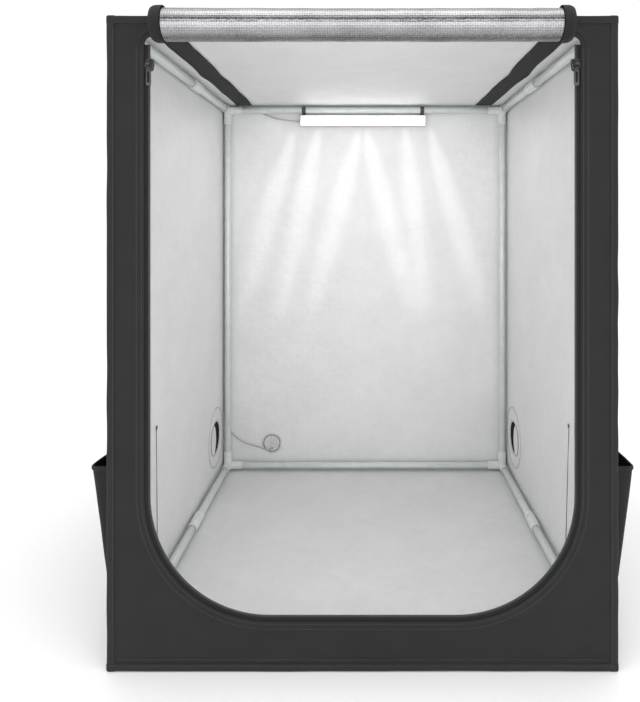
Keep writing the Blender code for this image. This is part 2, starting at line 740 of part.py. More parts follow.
def lead_route():
    """The lead's way from the bar, behind the rail and the rear left post, out of the port."""
    bar_end = LED_CENTRE_X - LED_LENGTH / 2 - GAP
    bar_z = FRAME_HIGH - TUBE_RADIUS - LED_BELOW_RAIL - LED_HEIGHT / 2
    behind = FRAME_Y + LEAD_BEHIND_RAIL
    above = FRAME_HIGH + LEAD_ABOVE_RAIL
    bend = LEAD_ABOVE_RAIL
    turns = (math.radians(30), math.radians(60))
    corner_x = -FRAME_X - bend
    port_z = REAR_PORT_HEIGHT - SLEEVE_MOUTH_RADIUS + LEAD_RADIUS + 0.002
    mouth_y = HALF_DEPTH + GAP + SLEEVE_LENGTH
    coil_y = HALF_DEPTH + COIL_BEHIND_TENT
    switch_end = COIL_X - beside_coil(SWITCH_WIDTH) - SWITCH_LENGTH
    return [
        (bar_end, FRAME_Y, bar_z),
        (bar_end - 0.014, FRAME_Y + 0.0005, bar_z + 0.0005),
        (bar_end - 0.034, FRAME_Y + 0.0022, bar_z + 0.0030),
        (bar_end - 0.058, FRAME_Y + 0.0055, bar_z + 0.0085),
        (bar_end - 0.080, behind, FRAME_HIGH - 0.0045),
        (bar_end - 0.098, behind, FRAME_HIGH + 0.0030),
        (bar_end - 0.118, behind, above),
        (bar_end - 0.130, behind, above),
        (-FRAME_X + bend, behind, above),
        (-FRAME_X, behind, above),
        *[(-FRAME_X - bend * math.sin(turn), behind, FRAME_HIGH + bend * math.cos(turn)) for turn in turns],
        (corner_x, behind, FRAME_HIGH),
        (corner_x, behind, FRAME_HIGH - bend),
        (corner_x, behind, TENT_HEIGHT * 0.5),
        (corner_x, behind, 0.170),
        (corner_x, behind, 0.115),
        (corner_x + 0.0030, behind, 0.096),
        (corner_x + 0.014, behind, 0.078),
        (corner_x + 0.036, behind - 0.0010, 0.060),
        (REAR_PORT_X - 0.026, behind - 0.0060, port_z + 0.0050),
        (REAR_PORT_X - 0.0110, behind - 0.0080, port_z + 0.0010),
        (REAR_PORT_X - 0.0028, behind - 0.0045, port_z),
        (REAR_PORT_X, HALF_DEPTH + 0.004, port_z),
        (REAR_PORT_X, mouth_y + 0.004, port_z - 0.001),
        (REAR_PORT_X + 0.001, mouth_y + 0.014, port_z - 0.0095),
        (REAR_PORT_X + 0.003, mouth_y + 0.0205, port_z - 0.0240),
        (REAR_PORT_X + 0.007, coil_y - 0.006, 0.0080),
        (REAR_PORT_X + 0.014, coil_y + 0.002, LEAD_REST + 0.0010),
        (REAR_PORT_X + 0.025, coil_y + 0.008, LEAD_REST),
        (switch_end - 0.022, coil_y + COIL_RADIUS - 0.003, LEAD_REST + 0.0006),
        (switch_end - GAP, coil_y + COIL_RADIUS, SWITCH_HEIGHT / 2),
    ]


def led_lead():
    """The lead, the coil of its spare length, the in-line switch and the plug."""
    curve = bpy.data.curves.new("led_lead", "CURVE")
    curve.dimensions = "3D"
    curve.bevel_depth = LEAD_RADIUS
    curve.bevel_resolution = 2
    curve.use_fill_caps = True
    points = smooth_route(lead_route(), 2)
    spline = curve.splines.new("POLY")
    spline.points.add(len(points) - 1)
    for point, place in zip(spline.points, points):
        point.co = (*place, 1)
    line = bpy.data.objects.new("led_lead_line", curve)
    CUTTERS.objects.link(line)
    mesh = finished_mesh(line)
    bpy.data.objects.remove(line)
    mesh.materials.clear()
    add_object("led_lead", mesh, LEAD_SHEATH)

    coil_y = HALF_DEPTH + COIL_BEHIND_TENT
    bundle = arc(COIL_RADIUS, COIL_BUNDLE, COIL_BUNDLE, 90, -240, 11)
    turned("lead_coil", bundle, LEAD_SHEATH, (COIL_X, coil_y, 0), (0, 0, 0), 28)

    lane_y = coil_y + COIL_RADIUS
    switch_high = COIL_X - beside_coil(SWITCH_WIDTH)
    switch_low = switch_high - SWITCH_LENGTH
    switch = box(
        "lead_switch",
        (switch_low, lane_y - SWITCH_WIDTH / 2, 0),
        (switch_high, lane_y + SWITCH_WIDTH / 2, SWITCH_HEIGHT),
        DARK_PLASTIC,
        0.0012,
    )
    middle_x = (switch_low + switch_high) / 2
    well_floor = SWITCH_HEIGHT - BUTTON_WELL
    well = rod(
        "well",
        (middle_x, lane_y, well_floor),
        (middle_x, lane_y, SWITCH_HEIGHT + BUTTON_WELL),
        BUTTON_RADIUS + GAP,
        None,
    )
    combine(switch, well, "DIFFERENCE")
    rod(
        "switch_button",
        (middle_x, lane_y, well_floor + BUTTON_FLOOR_GAP),
        (middle_x, lane_y, SWITCH_HEIGHT + BUTTON_PROUD),
        BUTTON_RADIUS,
        WHITE_PLASTIC,
    )

    plug_low = COIL_X + beside_coil(PLUG_GRIP_WIDTH)
    grip_high = plug_low + PLUG_GRIP_LENGTH
    plug = box(
        "usb_plug",
        (plug_low, lane_y - PLUG_GRIP_WIDTH / 2, 0),
        (grip_high, lane_y + PLUG_GRIP_WIDTH / 2, PLUG_GRIP_HEIGHT),
        DARK_PLASTIC,
    )
    half_width = PLUG_SHELL_WIDTH / 2
    shell_low = (PLUG_GRIP_HEIGHT - PLUG_SHELL_HEIGHT) / 2
    shell_high = (PLUG_GRIP_HEIGHT + PLUG_SHELL_HEIGHT) / 2
    shell = box(
        "shell",
        (grip_high - PLUG_SHELL_LENGTH / 2, lane_y - half_width, shell_low),
        (grip_high + PLUG_SHELL_LENGTH, lane_y + half_width, shell_high),
        None,
    )
    combine(plug, shell, "UNION")


panels()
front_surround()
frame()
rolled_door()
zip_sliders()
side_pockets()
ceiling_bands()
cable_ports()
led_bar()
led_lead()
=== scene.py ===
"""The looks of a box tent for a desktop 3D printer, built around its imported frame.

Metres, +Z up. The door opening faces -Y. Cloth, webbing, zip, stitching, tubes, light bar and
lead are modelled here; the places and joints come from the frame.
"""

import logging
import math
from collections.abc import Callable
from dataclasses import dataclass, field
from enum import Enum

import bpy
import numpy as np
from mathutils import Matrix, Vector


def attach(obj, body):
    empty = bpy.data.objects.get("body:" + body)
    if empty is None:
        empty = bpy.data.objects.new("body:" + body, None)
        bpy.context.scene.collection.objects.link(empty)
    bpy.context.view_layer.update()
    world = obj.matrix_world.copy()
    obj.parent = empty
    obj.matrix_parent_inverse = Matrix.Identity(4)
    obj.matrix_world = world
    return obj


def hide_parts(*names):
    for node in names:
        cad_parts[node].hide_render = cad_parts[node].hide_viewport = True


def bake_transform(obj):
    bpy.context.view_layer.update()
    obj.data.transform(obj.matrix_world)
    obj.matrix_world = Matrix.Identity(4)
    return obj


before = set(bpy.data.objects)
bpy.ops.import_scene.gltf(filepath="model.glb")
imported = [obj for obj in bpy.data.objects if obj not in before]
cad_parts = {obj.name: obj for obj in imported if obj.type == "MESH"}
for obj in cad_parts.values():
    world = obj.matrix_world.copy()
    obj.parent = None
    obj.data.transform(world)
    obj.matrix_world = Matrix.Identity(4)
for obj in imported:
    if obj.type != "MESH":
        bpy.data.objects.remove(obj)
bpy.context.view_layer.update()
LOG = logging.getLogger("tent")

HALF_WIDTH = 0.300
HALF_DEPTH = 0.300
HEIGHT = 0.770
OPENING_HALF = 0.2495
OPENING_LOW = 0.066
OPENING_TOP = 0.7395
CORNER_RADIUS = 0.140
TOP_RADIUS = 0.003
FRONT = -HALF_DEPTH


class Value:
    """A number or a colour in a shader, with operators that add Math nodes."""

    def __init__(self, paint: "Paint", socket: bpy.types.NodeSocket) -> None:
        """Keeps the socket and the paint that owns it."""
        self.paint = paint
        self.socket = socket

    def _math(self, operation: str, first: object, second: object) -> "Value":
        """Adds one Math node."""
        return self.paint.node("ShaderNodeMath", {"operation": operation}, {0: first, 1: second})

    def __add__(self, other: object) -> "Value":
        """self + other"""
        return self._math("ADD", self, other)

    def __mul__(self, other: object) -> "Value":
        """self * other"""
        return self._math("MULTIPLY", self, other)

    def wave(self, pitch: float) -> "Value":
        """A sine of this value, from -1 to 1, that repeats every pitch metres."""
        turns = self * (2 * math.pi / pitch)
        return self.paint.node("ShaderNodeMath", {"operation": "SINE"}, {0: turns})

    def spread(self, low: float, high: float, to_low: float = 0.0, to_high: float = 1.0) -> "Value":
        """The value mapped from one range to another, and held inside it."""
        inputs = {"Value": self, "From Min": low, "From Max": high, "To Min": to_low, "To Max": to_high}
        return self.paint.node("ShaderNodeMapRange", {"clamp": True}, inputs)


class Paint:
    """One material, with a Principled shader at its end."""

    def __init__(self, name: str) -> None:
        """Starts the material.

        Args:
            name: the material's name.
        """
        self.material = bpy.data.materials.new(name)
        self.material.use_nodes = True
        self.tree = self.material.node_tree
        self.shader = self.tree.nodes["Principled BSDF"]

    def node(self, kind: str, settings: dict, inputs: dict, output: int | str = 0) -> Value:
        """Adds any node.

        Args:
            kind: the node's type.
            settings: its own settings, which are set first.
            inputs: values or links for its sockets, by name or number.
            output: which of its outputs to use.

        Returns:
            The output, as a Value.
        """
        made = self.tree.nodes.new(kind)
        for name, value in settings.items():
            setattr(made, name, value)
        for name, value in inputs.items():
            self.feed(made.inputs[name], value)
        return Value(self, made.outputs[output])

    def feed(self, socket: bpy.types.NodeSocket, value: object) -> None:
        """Links a Value to a socket, or sets a plain number or colour on it."""
        if isinstance(value, Value):
            self.tree.links.new(value.socket, socket)
        elif isinstance(value, (tuple, list)) and len(value) == 3 and socket.type == "RGBA":
            socket.default_value = (*value, 1.0)
        else:
            socket.default_value = value

    def place(self) -> Value:
        """The point on the piece, in metres in the frame."""
        return self.node("ShaderNodeTexCoord", {}, {}, "Object")

    def cloth_place(self) -> Value:
        """The point on the flat cloth, in metres, from the piece's UV map."""
        return self.node("ShaderNodeUVMap", {"uv_map": "cloth"}, {})

    def split(self, vector: Value) -> tuple[Value, Value, Value]:
        """The three numbers of a vector."""
        made = self.tree.nodes.new("ShaderNodeSeparateXYZ")
        self.feed(made.inputs[0], vector)
        return tuple(Value(self, made.outputs[i]) for i in range(3))

    def noise(self, place: Value, size: float, detail: float = 3.0, rough: float = 0.5) -> Value:
        """Cloudy noise whose lumps are about size metres across."""
        inputs = {"Vector": place, "Scale": 1.0 / size, "Detail": detail, "Roughness": rough}
        return self.node("ShaderNodeTexNoise", {}, inputs, 0)

    def cells(self, place: Value, size: float) -> Value:
        """The distance to the nearest of scattered points about size metres apart."""
        inputs = {"Vector": place, "Scale": 1.0 / size, "Randomness": 0.22}
        return self.node("ShaderNodeTexVoronoi", {"feature": "F1"}, inputs, 0)

    def tint(self, share: Value, first: tuple, second: tuple) -> Value:
        """A colour between two colours."""
        inputs = {"Factor": share}
        made = self.node("ShaderNodeMix", {"data_type": "RGBA"}, inputs, 2)
        mix = made.socket.node
        mix.inputs[6].default_value = (*first, 1.0)
        mix.inputs[7].default_value = (*second, 1.0)
        return made

    def bump(self, height: Value, depth: float, strength: float = 1.0, under: Value | None = None) -> Value:
        """A normal from a height in units of depth metres."""
        inputs = {"Height": height, "Distance": depth, "Strength": strength}
        if under is not None:
            inputs["Normal"] = under
        return self.node("ShaderNodeBump", {}, inputs)

    def finish(self, **sockets: object) -> bpy.types.Material:
        """Feeds the shader's own sockets, whose names are given with _ for a space."""
        for name, value in sockets.items():
            self.feed(self.shader.inputs[name.replace("_", " ").title().replace("Ior", "IOR")], value)
        return self.material


@dataclass(frozen=True)
class WovenCloth:
    """Coated plain-weave cloth, such as the tent's black outside."""

    name: str
    dark: tuple[float, float, float]
    pale: tuple[float, float, float]
    pitch: float = 0.0011
    roughness: float = 0.72
    sheen: float = 0.12

    def material(self) -> bpy.types.Material:
        """The finished material."""
        paint = Paint(self.name)
        flat = paint.cloth_place()
        across, along, _ = paint.split(flat)
        weave = across.wave(self.pitch) * along.wave(self.pitch)
        cloud = paint.noise(flat, 0.045, 4.0, 0.6)
        grain = paint.noise(flat, 0.0016, 2.0, 0.6)
        mottle = (cloud * 0.55 + grain * 0.45).spread(0.34, 0.66)
        colour = paint.tint(mottle, self.dark, self.pale)
        rough = (grain * 0.6 + cloud * 0.4).spread(0.3, 0.7, self.roughness - 0.07, self.roughness + 0.08)
        soft = paint.bump(paint.noise(flat, 0.030, 3.0, 0.55), 0.0016, 0.55)
        fine = paint.bump(weave * 0.5 + grain * 0.7, 0.00022, 0.7, soft)
        paint.finish(base_color=colour, roughness=rough, normal=fine, sheen_weight=self.sheen,
                     sheen_roughness=0.45, specular_ior_level=0.25)
        return paint.material


@dataclass(frozen=True)
class FoilCloth:
    """Cloth faced with silver foil that is embossed all over with small dimples."""

    name: str
    dark: tuple[float, float, float]
    pale: tuple[float, float, float]
    emboss: float = 0.0026
    crinkle: float = 0.020
    metallic: float = 0.72
    roughness: float = 0.36
    depth: float = 0.0010
    dimple: float = 0.00035

    def material(self) -> bpy.types.Material:
        """The finished material."""
        paint = Paint(self.name)
        flat = paint.cloth_place()
        dimples = paint.cells(flat, self.emboss)
        speck = paint.noise(flat, self.emboss * 0.6, 2.0, 0.6)
        cloud = paint.noise(flat, 0.11, 4.0, 0.6)
        folds = paint.noise(flat, self.crinkle, 4.0, 0.62)
        mottle = (cloud * 0.30 + dimples * 0.35 + speck * 0.15 + folds * 0.20).spread(0.30, 0.62)
        colour = paint.tint(mottle, self.dark, self.pale)
        rough = (speck * 0.5 + folds * 0.5).spread(0.3, 0.7, self.roughness - 0.08, self.roughness + 0.14)
        wide = paint.bump(folds, self.depth, 0.8)
        fine = paint.bump(dimples * 0.7 + speck * 0.3, self.dimple, 0.7, wide)
        paint.finish(base_color=colour, roughness=rough, metallic=self.metallic, normal=fine)
        return paint.material


@dataclass(frozen=True)
class Ribbed:
    """Webbing or zip tape: ribs across its width and a diagonal weave."""

    name: str
    dark: tuple[float, float, float]
    pale: tuple[float, float, float]
    rib: float = 0.0019
    roughness: float = 0.78

    def material(self) -> bpy.types.Material:
        """The finished material."""
        paint = Paint(self.name)
        flat = paint.cloth_place()
        across, along, _ = paint.split(flat)
        ribs = along.wave(self.rib)
        twill = (across + along * 0.6).wave(self.rib * 0.8)
        grain = paint.noise(flat, 0.0012, 2.0, 0.6)
        cloud = paint.noise(flat, 0.03, 3.0, 0.6)
        colour = paint.tint((ribs * 0.20 + grain * 0.6 + cloud * 0.4).spread(0.25, 0.75), self.dark,
                            self.pale)
        rough = grain.spread(0.3, 0.7, self.roughness - 0.06, self.roughness + 0.08)
        normal = paint.bump(ribs * 0.5 + twill * 0.3 + grain * 0.4, 0.0003, 0.8)
        paint.finish(base_color=colour, roughness=rough, normal=normal, sheen_weight=0.05,
                     sheen_roughness=0.5, specular_ior_level=0.3)
        return paint.material


@dataclass(frozen=True)
class Moulded:
    """Moulded plastic or painted metal, with a fine grain and slightly worn patches."""

    name: str
    dark: tuple[float, float, float]
    pale: tuple[float, float, float]
    roughness: float = 0.42
    metallic: float = 0.0
    grain: float = 0.0009
    coat: float = 0.0

    def material(self) -> bpy.types.Material:
        """The finished material."""
        paint = Paint(self.name)
        place = paint.place()
        grain = paint.noise(place, self.grain, 2.0, 0.6)
        cloud = paint.noise(place, 0.018, 4.0, 0.65)
        colour = paint.tint((cloud * 0.7 + grain * 0.3).spread(0.32, 0.68), self.dark, self.pale)
        rough = (cloud * 0.6 + grain * 0.4).spread(0.3, 0.7, self.roughness - 0.08, self.roughness + 0.10)
        normal = paint.bump(grain * 0.6 + cloud * 0.4, 0.00012, 0.6)
        paint.finish(base_color=colour, roughness=rough, metallic=self.metallic, normal=normal,
                     coat_weight=self.coat)
        return paint.material


@dataclass(frozen=True)
class Glow:
    """A frosted lens with lamps behind it, brighter over each lamp."""

    name: str
    colour: tuple[float, float, float]
    strength: float
    lamp_pitch: float = 0.0165

    def material(self) -> bpy.types.Material:
        """The finished material."""
        paint = Paint(self.name)
        across, _, _ = paint.split(paint.place())
        lamps = across.wave(self.lamp_pitch).spread(-1.0, 1.0)
        grain = paint.noise(paint.place(), 0.002, 2.0, 0.5)
        glow = paint.tint(lamps * 0.8 + grain * 0.2, tuple(0.82 * c for c in self.colour), self.colour)
        rough = grain.spread(0.3, 0.7, 0.28, 0.42)
        paint.finish(base_color=(0.9, 0.9, 0.9), roughness=rough, emission_color=glow,
                     emission_strength=self.strength)
        return paint.material


class Finish(Enum):
    """The finishes of the tent, with the record's slot that each belongs to."""

    BLACK = (WovenCloth("black_coated_cloth", (0.009, 0.009, 0.0095), (0.016, 0.016, 0.017), sheen=0.05),
             "black_cloth")
    FOIL = (FoilCloth("silver_foil_lining", (0.76, 0.76, 0.76), (0.91, 0.91, 0.91), metallic=0.22,
                      roughness=0.52), "foil_cloth")
    ROLL = (FoilCloth("rolled_foil", (0.15, 0.15, 0.155), (0.40, 0.40, 0.41), 0.0028, 0.030, 1.0, 0.24,
                      0.0003, 0.0006), "foil_cloth")
    BINDING = (Ribbed("binding_tape", (0.010, 0.010, 0.0105), (0.018, 0.018, 0.019), 0.0012), "black_cloth")
    WEBBING = (Ribbed("black_webbing_weave", (0.004, 0.004, 0.004), (0.013, 0.013, 0.0135), 0.0024),
               "black_webbing")
    ZIP_TAPE = (Ribbed("zip_tape_weave", (0.007, 0.007, 0.007), (0.015, 0.015, 0.016), 0.0011), "zip_tape")
    THREAD = (Moulded("black_thread", (0.020, 0.020, 0.021), (0.046, 0.046, 0.048), 0.55), "black_cloth")
    TEETH = (Moulded("zip_teeth", (0.016, 0.016, 0.017), (0.030, 0.030, 0.031), 0.34), "zip_tape")
    SLIDER = (Moulded("slider_paint", (0.020, 0.020, 0.021), (0.045, 0.045, 0.047), 0.32, 0.5, 0.0006, 0.3),
              "zip_metal")
    TUBE = (Moulded("tube_paint", (0.62, 0.68, 0.66), (0.76, 0.80, 0.79), 0.34, 0.15, 0.0008, 0.25),
            "grey_tube")
    SOCKET = (Moulded("socket_plastic", (0.72, 0.75, 0.75), (0.84, 0.86, 0.86), 0.46), "pale_plastic")
    HOUSING = (Moulded("bar_housing", (0.72, 0.72, 0.72), (0.84, 0.84, 0.84), 0.40), "white_plastic")
    LENS = (Glow("lit_lens_glow", (1.0, 1.0, 1.0), 3.2), "lit_lens")
    DARK = (Moulded("dark_moulding", (0.030, 0.030, 0.033), (0.060, 0.060, 0.064), 0.44), "dark_plastic")
    SHEATH = (Moulded("lead_sheath_soft", (0.44, 0.41, 0.46), (0.58, 0.55, 0.60), 0.48), "lead_sheath")
    STEEL = (Moulded("plug_steel", (0.50, 0.50, 0.49), (0.66, 0.66, 0.64), 0.26, 1.0), "dark_plastic")
    # Black cloth darkened well below the real cloth's colour: painted shade for the insides of the side
    # ports, the pockets and the rear sleeve.
    PAINTED_SHADE_CLOTH = (WovenCloth("black_cloth_painted_shade", (0.002, 0.002, 0.002), (0.004, 0.004, 0.004), roughness=0.9,
                            sheen=0.0), "black_cloth")

    def material(self) -> bpy.types.Material:
        """The finish's material, made the first time that it is asked for."""
        found = bpy.data.materials.get(self.value[0].name)
        return found or self.value[0].material()

    @property
    def slot(self) -> str:
        """The record's slot."""
        return self.value[1]


def ripple(across: np.ndarray, along: np.ndarray, size: float, seed: int) -> np.ndarray:
    """A smooth height from about -1 to 1.

    Args:
        across: places in metres, in one direction of the cloth.
        along: places in the other direction.
        size: how wide its lumps are, in metres.
        seed: which of many such surfaces.

    Returns:
        The height at each place.
    """
    draw = np.random.default_rng(seed)
    total = np.zeros(np.broadcast(across, along).shape)
    for _ in range(7):
        turn = draw.uniform(0, 2 * math.pi)
        speed = 2 * math.pi / size * draw.uniform(0.45, 1.25)
        phase = draw.uniform(0, 2 * math.pi)
        total += np.sin(speed * (across * math.cos(turn) + along * math.sin(turn)) + phase)
    return total / 4.0


def only(*pieces: bpy.types.Object) -> None:
    """Selects these objects and nothing else, with the first one active."""
    bpy.ops.object.select_all(action="DESELECT")
    for piece in pieces:
        piece.select_set(True)
    bpy.context.view_layer.objects.active = pieces[0]


def apply_modifiers(piece: bpy.types.Object) -> None:
    """Applies all the piece's modifiers, in order."""
    only(piece)
    for name in [modifier.name for modifier in piece.modifiers]:
        bpy.ops.object.modifier_apply(modifier=name)


def settle(piece: bpy.types.Object) -> None:
    """Moves the piece's place, turn and size into its mesh."""
    only(piece)
    bpy.ops.object.transform_apply(location=True, rotation=True, scale=True)


def dress(piece: bpy.types.Object, finish: Finish, body: str = "tent",
          smooth: float = 40.0) -> bpy.types.Object:
    """Gives a piece its material, its body and smooth shading.

    Args:
        piece: the finished piece.
        finish: its finish.
        body: the CAD body that it moves with.
        smooth: the angle past which an edge stays sharp, in degrees.

    Returns:
        The piece.
    """
    if not piece.data.materials:
        piece.data.materials.append(finish.material())
    only(piece)
    if piece.type == "MESH":
        bpy.ops.object.shade_smooth_by_angle(angle=math.radians(smooth))
    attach(piece, body)
    return piece


def new_mesh(name: str, points: np.ndarray, faces: np.ndarray | list) -> bpy.types.Object:
    """An object from points and faces."""
    mesh = bpy.data.meshes.new(name)
    mesh.from_pydata([tuple(p) for p in points], [], [tuple(int(i) for i in f) for f in faces])
    mesh.update()
    made = bpy.data.objects.new(name, mesh)
    bpy.context.scene.collection.objects.link(made)
    return made


def lay_flat(piece: bpy.types.Object, flat: np.ndarray) -> None:
    """Gives a mesh the UV map "cloth", in metres of flat cloth, from one pair for each point."""
    layer = piece.data.uv_layers.new(name="cloth")
    index = np.zeros(len(piece.data.loops), np.int32)
    piece.data.loops.foreach_get("vertex_index", index)
    layer.data.foreach_set("uv", flat[index].astype(np.float32).ravel())


def cloth(name: str, points: np.ndarray, flat: np.ndarray, outside: Finish, inside: Finish,
          out: tuple | np.ndarray, thickness: float = 0.0011, ring: bool = False) -> bpy.types.Object:
    """A sheet of cloth with two sides, from a grid of points.

    Args:
        name: the piece's name.
        points: rows by columns by 3, in the frame.
        flat: rows by columns by 2, the same places on the flat cloth, in metres.
        outside: the finish of the side that faces out.
        inside: the finish of the other side.
        out: which way is out, one for all points or one for each; the thickness goes the other way.
        thickness: the cloth's thickness.
        ring: whether the last column joins the first.

    Returns:
        The sheet, solid and closed.
    """
    rows, columns = points.shape[:2]
    number = np.arange(rows * columns).reshape(rows, columns)
    following = np.roll(number, -1, axis=1) if ring else number[:, 1:]
    current = number if ring else number[:, :-1]
    quads = np.stack([current[:-1], following[:-1], following[1:], current[1:]], axis=-1).reshape(-1, 4)
    spots = points.reshape(-1, 3)
    facing = np.cross(spots[quads[:, 2]] - spots[quads[:, 0]], spots[quads[:, 3]] - spots[quads[:, 1]])
    outward = np.broadcast_to(np.asarray(out, float), points.shape).reshape(-1, 3)[quads[:, 0]]
    if (facing * outward).sum() < 0:
        quads = quads[:, ::-1]
    piece = new_mesh(name, spots, quads)
    lay_flat(piece, flat.reshape(-1, 2))
    piece.data.materials.append(outside.material())
    piece.data.materials.append(inside.material())
    wall = piece.modifiers.new("wall", "SOLIDIFY")
    wall.thickness = thickness
    wall.offset = -1.0
    wall.material_offset = 1
    wall.material_offset_rim = 0
    apply_modifiers(piece)
    return piece


def along_path(path: np.ndarray, pitch: float, start: float = 0.0) -> tuple[np.ndarray, np.ndarray]:
    """Evenly spaced places on a path.

    Args:
        path: points by 3.
        pitch: the distance between places.
        start: how far from the path's start the first one is.

    Returns:
        The places, and the path's direction at each.
    """
    steps = np.linalg.norm(np.diff(path, axis=0), axis=1)
    distance = np.concatenate([[0], np.cumsum(steps)])
    at = np.arange(start, distance[-1] - start, pitch)
    places = np.stack([np.interp(at, distance, path[:, k]) for k in range(3)], axis=1)
    ahead = np.stack([np.interp(at + pitch * 0.3, distance, path[:, k]) for k in range(3)], axis=1)
    behind = np.stack([np.interp(at - pitch * 0.3, distance, path[:, k]) for k in range(3)], axis=1)
    direction = ahead - behind
    return places, direction / np.linalg.norm(direction, axis=1)[:, None]


def repeated(name: str, template: np.ndarray, faces: list, places: np.ndarray, direction: np.ndarray,
             normal: np.ndarray) -> bpy.types.Object:
    """Copies of one small shape along a path, as one piece.

    Args:
        name: the piece's name.
        template: the shape's points: along the path, across it, and out of the surface.
        faces: its faces.
        places: where each copy goes.
        direction: the path's direction at each place.
        normal: the surface's normal, one for all or one for each.

    Returns:
        The piece.
    """
    normal = np.broadcast_to(normal, places.shape)
    across = np.cross(normal, direction)
    across /= np.linalg.norm(across, axis=1)[:, None]
    points = (
        places[:, None]
        + template[None, :, 0:1] * direction[:, None]
        + template[None, :, 1:2] * across[:, None]
        + template[None, :, 2:3] * normal[:, None]
    )
    shift = np.arange(len(places))[:, None, None] * len(template)
    quads = (np.array(faces)[None] + shift).reshape(-1, 4)
    return new_mesh(name, points.reshape(-1, 3), quads)


def bead(length: float, width: float, height: float) -> tuple[np.ndarray, list]:
    """A small rounded bar: the template of a stitch or a zip tooth.

    Args:
        length: its size along the path.
        width: its size across it.
        height: how far it stands out.

    Returns:
        Its points and its faces.
    """
    bpy.ops.object.select_all(action="DESELECT")
    bpy.ops.mesh.primitive_cube_add(size=1.0)
    piece = bpy.context.object
    bpy.ops.object.mode_set(mode="EDIT")
    bpy.ops.mesh.select_all(action="DESELECT")
    bpy.ops.object.mode_set(mode="OBJECT")
    for face in piece.data.polygons:
        face.select = abs(face.normal.x) > 0.9
    bpy.ops.object.mode_set(mode="EDIT")
    bpy.ops.mesh.extrude_region_shrink_fatten(TRANSFORM_OT_shrink_fatten={"value": 0.22})
    bpy.ops.object.mode_set(mode="OBJECT")
    for point in piece.data.vertices:
        if abs(point.co.x) > 0.6:
            point.co.y *= 0.45
            point.co.z *= 0.35
    points = np.array([tuple(p.co) for p in piece.data.vertices])
    points /= np.ptp(points, axis=0)
    faces = [tuple(f.vertices) for f in piece.data.polygons]
    bpy.data.objects.remove(piece)
    return points * np.array([length, width, height]), faces


@dataclass
class Sewing:
    """Rows of stitches on the tent's cloth."""

    pitch: float = 0.0033
    length: float = 0.0025
    width: float = 0.0006
    height: float = 0.0007
    body: str = "tent"
    finish: Finish = Finish.THREAD

    def row(self, name: str, path: np.ndarray, normal: tuple) -> bpy.types.Object:
        """Sews one row.

        Args:
            name: the piece's name.
            path: the row's path on the cloth.
            normal: which way the cloth faces.

        Returns:
            The row's stitches, as one piece.
        """
        template, faces = bead(self.length, self.width, self.height)
        places, direction = along_path(np.asarray(path, float), self.pitch, self.pitch)
        made = repeated(name, template, faces, places, direction, np.asarray(normal, float))
        return dress(made, self.finish, self.body)


def line(start: tuple, end: tuple, count: int = 2) -> np.ndarray:
    """Points on a straight line."""
    share = np.linspace(0, 1, count)[:, None]
    return np.array(start, float) * (1 - share) + np.array(end, float) * share


